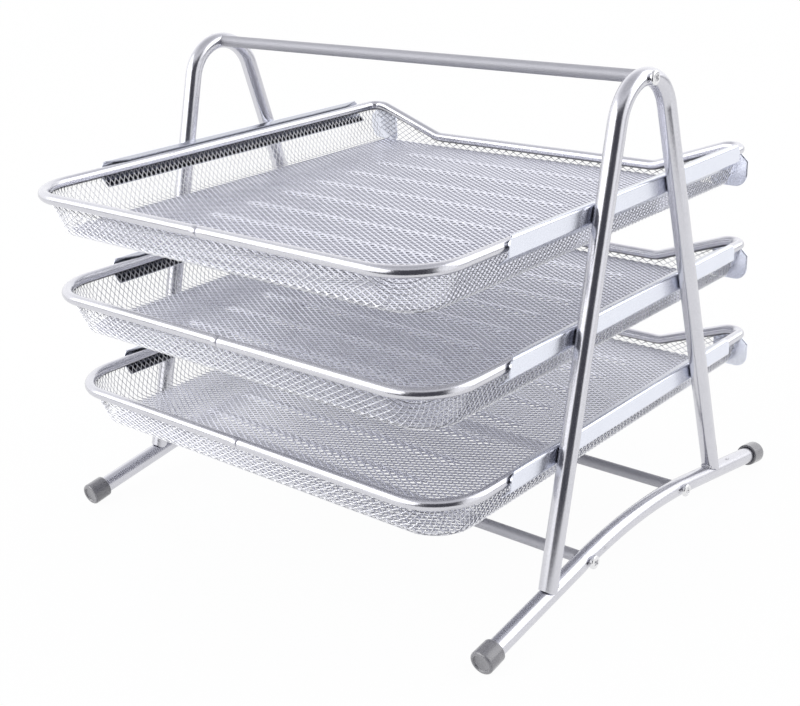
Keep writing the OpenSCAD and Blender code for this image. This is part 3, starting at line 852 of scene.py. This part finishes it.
@dataclass
class Rail:
    """Folded sheet channel in which a tray's rim slides."""

    side: Side
    tier: Tier
    web_x: float = 153.95
    length: float = 237.0
    above: float = 5.0
    below: float = 6.3
    flange: float = 5.4
    flange_fall: float = 1.0
    ledge: float = 6.44
    ledge_fall: float = 4.0
    sheet_t: float = 1.0
    fold_r: float = 1.1
    corner_r: float = 6.0
    corner_cut: float = 3.2
    lead: float = 18.0
    lead_from: float = 1.2
    # Strength of the painted shade on the channel's inside and on the upper flange's top.
    web_shade: float = 0.25
    top_shade: float = 0.4
    top_z: float = 216.5

    def middle_line(self) -> tuple[Array, Array, Array, Array]:
        """The channel's middle line and its normals, from the lower flange's edge to the upper one's.

        Both flanges fall a little towards the tray.

        Returns:
            Distance inwards from the web's outside, height, and both parts of the normal.
        """
        high, low = self.above - self.sheet_t / 2, self.sheet_t / 2 - self.below
        root = self.fold_r + self.sheet_t / 2
        web = root - self.fold_r
        line = np.concatenate(
            [
                np.linspace((self.ledge, low - self.ledge_fall), (root, low), 6),
                arc((root, low + self.fold_r), self.fold_r, -QUARTER, -math.pi, 7)[1:],
                np.linspace((web, low + self.fold_r), (web, high - self.fold_r), 14)[1:-1],
                arc((root, high - self.fold_r), self.fold_r, math.pi, QUARTER, 7),
                np.linspace((root, high), (self.flange, high - self.flange_fall), 8)[1:],
            ]
        )
        along = unit(np.gradient(line, axis=0))
        return line[:, 0], line[:, 1], along[:, 1], -along[:, 0]

    def end_cut(self, inwards: Array, height: Array) -> Array:
        """How far the sheet stops short of the rail's end.

        On the web it is a quarter circle at the upper corner; on the upper flange it adds a slant that
        grows with the distance from the web.

        Args:
            inwards: Distance from the web's outside.
            height: Height over the rail's middle.

        Returns:
            Lengths that are cut.
        """
        rise = np.clip(height - (self.above - self.corner_r), 0.0, self.corner_r)
        corner = self.corner_r - np.sqrt(self.corner_r**2 - rise**2)
        upper = (height > 0) & (inwards > self.lead_from)
        slant = self.lead * np.clip((inwards - self.lead_from) / (self.flange - self.lead_from), 0.0, 1.0)
        return np.where(upper, np.maximum(np.minimum(corner, self.corner_cut), slant), corner)

    def build(self) -> None:
        """Channel: the middle line, thickened both ways, carried from one cut end to the other.

        Its inside gets painted shade, most on the flanges, and the upper flange's top a little.
        """
        inwards, height, nx, nz = self.middle_line()
        half_t = 0.5 * self.sheet_t
        loop_in = np.concatenate([inwards + nx * half_t, (inwards - nx * half_t)[::-1]])
        loop_up = np.concatenate([height + nz * half_t, (height - nz * half_t)[::-1]])
        cut = self.end_cut(np.concatenate([inwards, inwards[::-1]]), np.concatenate([height, height[::-1]]))
        share = np.concatenate([[-1.0], np.linspace(-0.995, 0.995, 41), [1.0]])[:, None]
        z = self.top_z - self.tier.value * TIER_PITCH + loop_up
        surface = joined(self.side.value * (self.web_x - loop_in), share * (self.length / 2 - cut), z)
        rows, columns = surface.shape[:2]
        ids = np.arange(rows * columns).reshape(rows, columns)
        quads = [grid_quads(ids)]
        for row, order in ((ids[0], -1), (ids[-1], 1)):
            one, two = row[: columns // 2], row[columns // 2 :][::-1]
            quads.append(np.stack([one[:-1], two[:-1], two[1:], one[1:]], -1)[:, ::order])
        # Painted shade: dark inside the channel, darkest on the flanges, and a little on the upper flange's
        # top.
        inside = self.web_shade + (1 - self.web_shade) * eased(inwards, 2.2, 3.6)
        outside = self.top_shade * eased(inwards, 1.4, 2.2) * (height > 0)
        sunk = np.tile(np.concatenate([inside, outside[::-1]]), rows)
        shell = Shell().add(surface.reshape(-1, 3), np.concatenate(quads), sunk)
        name = f"{self.side.word}_{self.tier.word}_rail"
        put(shell, f"{name}_channel", "frame", RAIL_SILVER, (name,), ROUNDED)


@dataclass(frozen=True)
class Strand:
    """Section of the mesh's strands: a flat top, a bevel down to each hole and a keel below.

    Shares are those of a diamond's half diagonals, at which the flat top and the bevel end. The holes' edges
    get painted shade as dark as sunk says and the keel a tenth of it, and the upper side as top_sunk says.
    """

    top_share: float
    hole_share: float
    thick: float
    bevel: float
    tilt: float
    sunk: float = 0.0
    top_sunk: float = 0.0


# Painted shade: on the floor, the holes' edges and faintly the keels; on the walls, the inner side.
FLOOR_STRAND = Strand(top_share=0.82, hole_share=0.69, thick=1.0, bevel=0.3, tilt=0.1, sunk=1.0)
WALL_STRAND = Strand(top_share=0.93, hole_share=0.86, thick=0.5, bevel=0.12, tilt=0.06, top_sunk=0.4)


@dataclass
class Tray:
    """Sliding tray: a rim of tube, a basket of expanded sheet and two stop plates."""

    tier: Tier
    rim_x: float = 149.1
    top_z: float = 216.05
    length: float = 312.0
    rim_r: float = 3.25
    rear_r: float = 32.0
    front_r: float = 7.0
    lip_x: float = 85.0
    lip_drop: float = 18.0
    lip_r: float = 20.0
    seam_x: float = 4.0
    seam_deep: float = 1.7
    seam_w: float = 0.42
    burr_h: float = 0.1
    burr_x: float = 0.9
    burr_w: float = 0.5
    depth: float = 24.5
    wall_in: float = 2.4
    wall_lean: float = 6.6
    fold_r: float = 6.0
    wall_top: float = 2.2
    wall_extra: float = 0.6
    front_gap: float = 0.5
    front_foot_h: float = 7.0
    front_foot_in: float = 4.0
    cell_long: float = 6.25
    cell_short: float = 3.65
    rib_first: float = 58.0
    rib_pitch: float = 31.0
    rib_count: int = 8
    rib_l: float = 174.0
    rib_w: float = 8.0
    rib_h: float = 0.8
    rib_pinch: float = 0.22
    sag: float = 0.25
    sag_l: tuple[float, float] = (37.0, 41.0)
    sag_shift: float = 1.3
    # Painted shade along the sheet's upper edge under the rim: its strength, and the heights over the rim's
    # seat where it fades in.
    rim_shade: float = 1.5
    shade_low: float = -2.8
    shade_high: float = -1.2
    plate_w: float = 24.0
    plate_t: float = 1.0
    plate_gap: float = 0.6
    plate_corner_r: float = 8.0
    plate_foot_r: float = 2.0
    plate_bevel_x: float = 5.5
    plate_bevel_z: float = 5.0
    plate_tuck: float = 0.3

    def __post_init__(self) -> None:
        """Works out the front edge's slope and the walls' lean, as the solids do."""
        self.place = np.array([0.0, TRAY_REAR_Y[self.tier], self.top_z - self.tier.value * TIER_PITCH])
        self.body = f"{self.tier.word}_tray"
        self.dip_x = self.rim_x - self.front_r
        run = self.dip_x - self.lip_x
        root = math.sqrt(run * run - self.lip_drop * (4 * self.lip_r - self.lip_drop))
        self.slope = 2 * math.atan(self.lip_drop / (run + root))
        self.floor_z = 0.5 - self.depth
        seat = -math.sqrt(self.rim_r**2 - self.wall_in**2)
        self.lean = math.atan(self.wall_lean / (seat - self.floor_z))
        fold_run = self.fold_r * math.tan((QUARTER - self.lean) / 2)
        self.inset = self.wall_in + self.wall_lean + fold_run
        self.fold_l = self.fold_r * (QUARTER - self.lean)
        self.wall_l = (seat - self.floor_z) / math.cos(self.lean) - fold_run

    def rim_line(self) -> Array:
        """Centre line of the rim's right half, from the middle of the rear edge to the middle of the lip.

        Straight runs and arcs follow one another: rear edge, rear corner, side, front corner, a bend down,
        a slope, a bend back and the lip. Points stand closer at the seam.

        Returns:
            Points, n by 3.
        """
        seam = self.seam_x + np.array([-1.2, -0.5, -0.25, -0.12, 0.0, 0.12, 0.25, 0.5, 1.2])
        rear_x = np.unique(np.concatenate([np.linspace(0.0, self.rim_x - self.rear_r, 24), seam]))
        corner = arc((self.rim_x - self.rear_r, self.rear_r), self.rear_r, -QUARTER, 0.0, 25)[1:]
        side_y = np.linspace(self.rear_r, self.length - self.front_r, 42)[1:]
        bend = arc((self.dip_x, self.length - self.front_r), self.front_r, 0.0, QUARTER, 15)[1:]
        level = np.concatenate([joined(rear_x, 0.0), corner, joined(self.rim_x, side_y), bend])
        crest = arc((self.dip_x, -self.lip_r), self.lip_r, QUARTER, QUARTER + self.slope, 9)[1:]
        trough = arc((self.lip_x, self.lip_r - self.lip_drop), self.lip_r, self.slope - QUARTER, -QUARTER, 9)
        share = np.linspace(0.0, 1.0, 12)[1:-1, None]
        slope = crest[-1] * (1 - share) + trough[0] * share
        lip = joined(np.linspace(self.lip_x, 0.0, 16)[1:], -self.lip_drop)
        front = np.concatenate([crest, slope, trough, lip])
        return np.concatenate([joined(*level.T, 0.0), joined(front[:, 0], self.length, front[:, 1])])

    def rim(self) -> None:
        """Rim: a circle carried round the closed centre line, pinched to a fine groove at the butt seam.

        The groove is a bell in the radius, with a slight burr beside it. The inner underside gets a painted
        shade line.
        """
        half = self.rim_line()
        line = np.concatenate([half, half[1:-1][::-1] * np.array([-1.0, 1.0, 1.0])])
        along = unit(np.roll(line, -1, 0) - np.roll(line, 1, 0))
        lift = unit(UPRIGHT - (along @ UPRIGHT)[:, None] * along)
        rear = (line[:, 1] < 0.1)[:, None]
        off = (line[:, 0] - self.seam_x)[:, None]
        groove = self.seam_deep * np.exp(-((off / self.seam_w) ** 2))
        burr = self.burr_h * np.exp(-(((off - self.burr_x) / self.burr_w) ** 2))
        radius = self.rim_r - rear * (groove - burr)
        cos, sin = circle(32)
        surface = carried(line, np.cross(along, lift), lift, radius * cos, radius * sin) + self.place
        # Painted shade: a dark line along the rim's inner underside, over the wall's edge.
        sunk = np.tile(eased(-sin, 0.42, 0.62) * (cos < 0.2), len(line))
        shell = Shell().sheet(surface, looped=True, sunk=sunk)
        word = self.tier.word
        put(shell, f"{word}_rim_tube", self.body, RIM_SILVER, (f"{word}_rim",))

    def under_rim(self, x: Array) -> Array:
        """Height of the front rim's underside, along its run from side to side.

        Args:
            x: Distances from the tray's middle.

        Returns:
            Heights of the rim's centre line less its radius.
        """
        half = self.rim_line()
        front = half[half[:, 1] > self.length - 0.01][::-1]
        return np.interp(np.abs(x), front[:, 0], front[:, 2]) - self.rim_r

    def floor_distance(self, u: Array, v: Array) -> tuple[Array, Array, Array]:
        """Distance outside the floor's outline, and the direction outwards.

        The outline is a rectangle, open to the front, with rounded rear corners: with p and q the distances
        past the corner's middle, the distance is the length of their positive parts, plus the larger of
        them where both are negative, less the corner's radius.

        Args:
            u: Place across the flat sheet.
            v: Place along the flat sheet.

        Returns:
            The distance and the direction's two parts.
        """
        radius = self.rear_r - self.inset
        p = np.abs(u) - (self.rim_x - self.inset - radius)
        q = self.inset + radius - v
        pp, qq = np.maximum(p, 0.0), np.maximum(q, 0.0)
        length = np.hypot(pp, qq)
        distance = length + np.minimum(np.maximum(p, q), 0.0) - radius
        safe = np.maximum(length, 1e-6)
        px = np.where(length > 1e-6, pp / safe, (p >= q).astype(float))
        qy = np.where(length > 1e-6, qq / safe, (p < q).astype(float))
        return distance, px * np.sign(u), -qy

    def ribs(self, u: Array, v: Array) -> Array:
        """Height of the pressed ribs: a rounded ridge along X about each rib's line, with eased ends.

        Args:
            u: Place across the flat sheet.
            v: Place along the flat sheet.

        Returns:
            Heights.
        """
        first = self.rib_first - self.rib_pitch / 2
        near = (v - first) % self.rib_pitch - self.rib_pitch / 2
        within = (v > first) & (v < first + self.rib_count * self.rib_pitch)
        ends = np.maximum(np.abs(u) - (self.rib_l - self.rib_w) / 2, 0.0)
        off = np.hypot(near, ends) / (self.rib_w / 2)
        return self.rib_h * within * np.where(off < 1, np.cos(np.clip(off, 0, 1) * QUARTER) ** 1.2, 0.0)

    def pressed(self, u: Array, v: Array, w: Array) -> Array:
        """Flat sheet pressed to the basket's form.

        Inside the floor's outline the sheet stays level, with ribs and a slight sag. Outside, it follows an
        arc of the fold's radius and then the straight lean of the wall, by its distance from the outline; w
        is measured square to the pressed surface.

        Args:
            u: Place across the flat sheet.
            v: Place along the flat sheet.
            w: Height over the sheet's middle.

        Returns:
            Points of the tray, n by 3.
        """
        distance, nx, ny = self.floor_distance(u, v)
        out = np.maximum(distance, 0.0)
        bent = np.minimum(out, self.fold_l)
        turn, rest = bent / self.fold_r, out - bent
        reach = self.fold_r * np.sin(turn) + rest * np.cos(turn)
        rise = self.fold_r * (1 - np.cos(turn)) + rest * np.sin(turn)
        waves = np.sin(u / self.sag_l[0] + self.sag_shift * self.tier.value) * np.sin(v / self.sag_l[1])
        sag = self.sag * waves * np.exp(-out / self.fold_r)
        side = reach - out - w * np.sin(turn)
        z = self.floor_z + rise + w * np.cos(turn) + self.ribs(u, v) + sag
        return joined(u + nx * side, v + ny * side, z)

    def front_sheet(self, u: Array, v: Array, w: Array) -> Array:
        """Upright sheet at the front edge, in whose plane u runs across and v up."""
        return joined(u, self.length - w, v)

    def front_reach(self, v: Array) -> Array:
        """Half width of the front sheet at height v, along the leaning sides and drawn in at the foot."""
        foot = self.front_foot_in * eased(self.floor_z + self.front_foot_h - v, 0.0, self.front_foot_h)
        return self.rim_x - self.wall_in - self.front_gap + (self.wall_top + v) * math.tan(self.lean) - foot

    def expanded(
        self,
        keep: Callable[[Array, Array], Array],
        place: Callable[[Array, Array, Array], Array],
        reach: tuple[float, float],
        strand: Strand,
        under_rim: Callable[[Array, Array], Array] | None,
    ) -> tuple[Array, Array, Array]:
        """Expanded sheet: diamonds in staggered rows with strands between them.

        Cells stand where i + j is even, at (i, j) half pitches, and their corners where it is odd. Each
        cell has four quads from its corners to the end of the flat top, four down the bevel and four
        under the strand to its keel; where no cell follows, a quad closes the strand. A strand leans,
        because its top is lower on the far side of a diamond than on the near side. On the ribs the
        diamonds are pressed smaller.

        Args:
            keep: Which places of the flat sheet have a cell.
            place: Takes flat places and heights to points of the tray.
            reach: Least and greatest place along the sheet.
            strand: The strands' section.
            under_rim: Painted shade of a place that lies under the rim.

        Returns:
            Points, quads and the painted shade of each point.
        """
        a, b = self.cell_long / 2, self.cell_short / 2
        across = int((self.rim_x + 20) / a) + 2
        along = np.arange(int(reach[0] / b) - 3, int(reach[1] / b) + 4)
        i, j = np.meshgrid(np.arange(-across, across + 1), along, indexing="ij")
        held = ((i + j) % 2 == 0) & keep(i * a, j * b)
        held[[0, -1]] = False
        held[:, [0, -1]] = False
        ci, cj = np.nonzero(held)
        steps = np.array([[1, 0], [0, 1], [-1, 0], [0, -1]])
        corner = ci[:, None] + steps[:, 0], cj[:, None] + steps[:, 1]
        used = np.zeros_like(held)
        used[corner] = True
        total = int(used.sum())
        corners = i[used] * a, j[used] * b
        middles = i[held] * a, j[held] * b
        pinched = 1.0 - self.rib_pinch * self.ribs(*middles) / self.rib_h
        half = strand.thick / 2
        edge = np.tile(half - steps[:, 1] * strand.tilt, len(ci))

        def ring(share: float) -> list[Array]:
            """Places of the diamonds' corners at a share of their half diagonals."""
            sizes = zip(middles, steps.T, (a * share * pinched, b * share * pinched))
            return [(middle[:, None] + step * size[:, None]).ravel() for middle, step, size in sizes]

        def shade(u: Array, v: Array) -> Array:
            """Painted shade of the sheet's upper side."""
            return np.maximum(under_rim(u, v) if under_rim else 0.0, strand.top_sunk)

        flat_end, hole = ring(strand.top_share), ring(strand.hole_share)
        layers = (
            (*corners, half, shade(*corners)),
            (*corners, -half, 0.1 * strand.sunk),
            (*flat_end, edge, shade(*flat_end)),
            (*hole, edge - strand.bevel, strand.sunk),
        )
        points = np.concatenate([place(u, v, w) for u, v, w, _ in layers])
        sunk = np.concatenate([np.broadcast_to(dark, u.shape) for u, _, _, dark in layers])
        top = (np.cumsum(used).reshape(used.shape) - 1)[corner]
        under = top + total
        upper = 2 * total + np.arange(4 * len(ci)).reshape(-1, 4)
        lower = upper + 4 * len(ci)
        nxt = [1, 2, 3, 0]
        beyond = steps + steps[nxt]
        open_edge = ~held[ci[:, None] + beyond[:, 0], cj[:, None] + beyond[:, 1]]
        quads = [
            np.stack([top, top[:, nxt], upper[:, nxt], upper], -1).reshape(-1, 4),
            np.stack([upper, upper[:, nxt], lower[:, nxt], lower], -1).reshape(-1, 4),
            np.stack([under, lower, lower[:, nxt], under[:, nxt]], -1).reshape(-1, 4),
            np.stack([top, under, under[:, nxt], top[:, nxt]], -1)[open_edge],
        ]
        return points, np.concatenate(quads), sunk

    def basket(self) -> None:
        """Basket: the pressed floor as one piece, and its walls with the upright front edge as another."""
        seat = self.fold_l + self.wall_l
        half_cell = 0.5 * self.cell_short

        def in_floor(u: Array, v: Array) -> Array:
            """Cells whose middle lies inside the floor's outline."""
            return (self.floor_distance(u, v)[0] < 0.0) & (v < self.length - half_cell)

        def in_walls(u: Array, v: Array) -> Array:
            """Cells whose middle lies between the floor's outline and the sheet's cut edge."""
            distance = self.floor_distance(u, v)[0]
            return (distance >= 0.0) & (distance < seat + self.wall_extra) & (v < self.length - half_cell)

        def in_front(u: Array, v: Array) -> Array:
            """Cells between the floor, the leaning sides and the rim."""
            below = v < self.under_rim(u) + half_cell
            return (v > self.floor_z) & (np.abs(u) < self.front_reach(v)) & below

        def wall_under_rim(u: Array, v: Array) -> Array:
            """Painted shade of the wall's upper edge."""
            over = self.floor_distance(u, v)[0] - seat
            return self.rim_shade * eased(over, self.shade_low, self.shade_high)

        def front_under_rim(u: Array, v: Array) -> Array:
            """Painted shade of the front's upper edge."""
            return self.rim_shade * eased(v - self.under_rim(u), self.shade_low, self.shade_high)

        name = f"{self.tier.word}_basket"
        floor, walls = Shell(), Shell()
        along = (-self.depth, self.length)
        for shell, keep, place, reach, strand, shade in (
            (floor, in_floor, self.pressed, along, FLOOR_STRAND, None),
            (walls, in_walls, self.pressed, along, WALL_STRAND, wall_under_rim),
            (walls, in_front, self.front_sheet, (-self.depth, 2.0), WALL_STRAND, front_under_rim),
        ):
            points, quads, sunk = self.expanded(keep, place, reach, strand, shade)
            shell.add(points + self.place, quads, sunk)
        put(floor, f"{name}_floor", self.body, MESH_SILVER, (name,), FLAT)
        put(walls, f"{name}_walls", self.body, WALL_SILVER, (name,), FLAT)

    def stop_plate(self, side: Side) -> None:
        """Stop plate: its outline scaled about a middle point, pushed through the sheet's thickness.

        Rows of the grid go from the middle of one face over the rounded edge to the middle of the other.

        Args:
            side: Which front corner.
        """
        outer, low = self.rim_x + self.rim_r, -self.depth
        inner = outer - self.plate_w
        corner_r, foot_r = self.plate_corner_r, self.plate_foot_r
        top_x = np.linspace(outer - self.plate_bevel_x, inner, 14)
        top_z = np.where(top_x > self.dip_x, -self.rim_r, self.under_rim(top_x)) + self.plate_tuck
        outline = np.concatenate(
            [
                arc((inner + foot_r, foot_r + low), foot_r, math.pi, 3 * QUARTER, 6),
                arc((outer - corner_r, corner_r + low), corner_r, -QUARTER, 0.0, 13),
                joined(outer, np.linspace(corner_r + low, -self.rim_r - self.plate_bevel_z, 8)[1:]),
                joined(top_x, top_z),
            ]
        )
        middle = np.array([outer - 0.45 * self.plate_w, 0.62 * low])
        size = np.array([0.02, 0.5, 0.9, 0.975, 1.0, 1.0, 0.975, 0.9, 0.5, 0.02])[:, None]
        share = np.array([1.0, 1.0, 1.0, 1.0, 0.78, 0.22, 0.0, 0.0, 0.0, 0.0])[:, None]
        x, z = (middle[k] + size * (outline - middle)[:, k] for k in range(2))
        surface = joined(side.value * x, self.length + self.plate_gap + share * self.plate_t, z)
        name = f"{self.tier.word}_{side.word}_stop_plate"
        shell = Shell().sheet(surface + self.place)
        put(shell, f"{name}_tab", self.body, RAIL_SILVER, (name,), ROUNDED)

    def build(self) -> None:
        """Builds every piece of this tray."""
        self.rim()
        self.basket()
        for side in Side:
            self.stop_plate(side)


@dataclass(frozen=True)
class Lamp:
    """Soft square lamp: where it stands and aims, the length of its sides, and its power in watts."""

    name: str
    stand: Triple
    aim: Triple
    size: float
    power: float

    def build(self) -> None:
        """Puts the lamp into the scene."""
        data = bpy.data.lights.new(self.name, "AREA")
        data.shape = "SQUARE"
        data.size = self.size
        data.energy = self.power
        lamp = linked(self.name, data)
        lamp.location = self.stand
        lamp.rotation_mode = "QUATERNION"
        lamp.rotation_quaternion = (Vector(self.aim) - Vector(self.stand)).to_track_quat("-Z", "Y")


@dataclass
class Studio:
    """Floor, soft light and camera."""

    azimuth: float = math.radians(40.79151)
    elevation: float = math.radians(21.01144)
    roll: float = math.radians(-2.31207)
    lens: float = 59.156
    stand: Triple = (0.502777, -0.590882, 0.394428)
    dark_turn: float = math.radians(25.0)
    room_turn: float = math.radians(44.0)
    front_turn: float = math.radians(150.0)
    floor_near: float = 1.5
    floor_far: float = 9.0
    floor_end: float = 0.42
    room: Triple = (1.2, 1.2, 1.21)
    above: Triple = (0.78, 0.78, 0.82)
    overhead: Triple = (0.62, 0.62, 0.65)
    front_grey: Triple = (0.5, 0.5, 0.53)
    band_dark: Triple = (0.1, 0.1, 0.115)
    strip_dark: Triple = (0.07, 0.07, 0.085)
    white: Triple = (1.0, 1.0, 1.0)
    lamps: tuple[Lamp, ...] = (
        Lamp("left_soft_lamp", (-1.1, -1.3, 1.1), (0.0, 0.0, 0.15), 1.4, 7.0),
        Lamp("rear_soft_lamp", (-0.42, -1.55, 0.6), (0.0, 0.0, 0.12), 1.5, 9.0),
        Lamp("right_soft_lamp", (1.05, 1.0, 1.0), (0.35, 0.3, 0.0), 1.5, 8.0),
    )

    def camera(self) -> None:
        """Camera with the photograph's viewing angle."""
        a, e, r = self.azimuth, self.elevation, self.roll
        back = Vector((math.sin(a) * math.cos(e), -math.cos(a) * math.cos(e), math.sin(e)))
        right = Vector((math.cos(a), math.sin(a), 0.0))
        up = back.cross(right)
        turned = right * math.cos(r) + up * math.sin(r)
        upright = up * math.cos(r) - right * math.sin(r)
        data = bpy.data.cameras.new("studio_camera")
        data.sensor_fit = "HORIZONTAL"
        data.sensor_width = 36.0
        data.lens = self.lens
        data.clip_start, data.clip_end = 0.01, 50.0
        camera = linked("studio_camera", data)
        facing = Matrix((turned, upright, back)).transposed().to_4x4()
        camera.matrix_world = Matrix.Translation(self.stand) @ facing
        bpy.context.scene.camera = camera

    def floor(self) -> None:
        """Pale floor with a corner cut off, so that it ends short of the camera."""
        mesh = bpy.data.meshes.new("studio_floor")
        far, near = self.floor_far, self.floor_near
        sin, cos = math.sin(self.room_turn), math.cos(self.room_turn)
        cut_x, cut_y = (self.floor_end - near * cos) / sin, (near * sin - self.floor_end) / cos
        outline = [(-far, -near, 0), (cut_x, -near, 0), (near, cut_y, 0), (near, far, 0), (-far, far, 0)]
        mesh.from_pydata(outline, [], [(0, 1, 2, 3, 4)])
        mesh.materials.append(finish_material(PaleFloor()))
        floor = linked("studio_floor", mesh)

    def world(self) -> None:
        """White surroundings, greyer overhead, with dark parts beside the camera, as in an open room.

        Masks on the direction that is looked in lay one colour over the other: two greys by height, a grey
        low at the front, a dark low band on the open side, a dark upright strip behind the camera, and plain
        white for the camera itself.
        """
        world = bpy.data.worlds.new("soft_studio")
        bpy.context.scene.world = world
        world.use_nodes = True
        shader = Shader(world.node_tree)
        way = shader.node("ShaderNodeTexCoord").outputs["Generated"]
        height = shader.value("ShaderNodeSeparateXYZ", None, {0: way}, "Z")

        def towards(turn: float) -> Val:
            """Cosine of the angle to a level direction."""
            inputs = {0: way, 1: (math.sin(turn), -math.cos(turn), 0.0)}
            return shader.value("ShaderNodeVectorMath", {"operation": "DOT_PRODUCT"}, inputs, "Value")

        leftwards = towards(self.dark_turn - QUARTER)
        beside = towards(self.room_turn + QUARTER)
        front = towards(self.front_turn).between(0.72, 0.97) * (0.1 - height).between(0.0, 0.1)
        low = (0.26 - leftwards * 0.2 - height).between(-0.05, 0.05)
        band = low * towards(self.dark_turn).between(0.05, 0.4) * leftwards.between(-0.93, -0.3)
        strip = (0.42 - beside * beside).between(0.0, 0.2) * towards(self.room_turn).between(-0.05, 0.25)
        colour: Any = self.room
        for mask, tint in (
            (height.between(0.5, 0.82), self.above),
            (height.between(0.82, 0.96), self.overhead),
            (front, self.front_grey),
            (band, self.band_dark),
            (strip * (0.8 - height).between(0.0, 0.25), self.strip_dark),
            (shader.node("ShaderNodeLightPath").outputs["Is Camera Ray"], self.white),
        ):
            colour = shader.mixed(mask, colour, tint)
        sky = shader.node("ShaderNodeBackground", None, {"Color": colour, "Strength": 1.0})
        shader.node("ShaderNodeOutputWorld", None, {"Surface": sky.outputs[0]})

    def build(self) -> None:
        """Sets the view, the floor and the light."""
        bpy.context.scene.view_settings.view_transform = "Standard"
        self.camera()
        self.floor()
        self.world()
        for lamp in self.lamps:
            lamp.build()


def main() -> None:
    """Builds the studio and the sub-assemblies in order."""
    logging.basicConfig(level=logging.INFO, format="%(name)s: %(message)s")
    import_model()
    Studio().build()
    sides = [SideFrame(side) for side in Side]
    for frame in sides:
        frame.build()
    CrossBars(sides[0]).build()
    for side in Side:
        for tier in Tier:
            Rail(side, tier).build()
    for tier in Tier:
        Tray(tier).build()


if __name__ == "__main__":
    main()
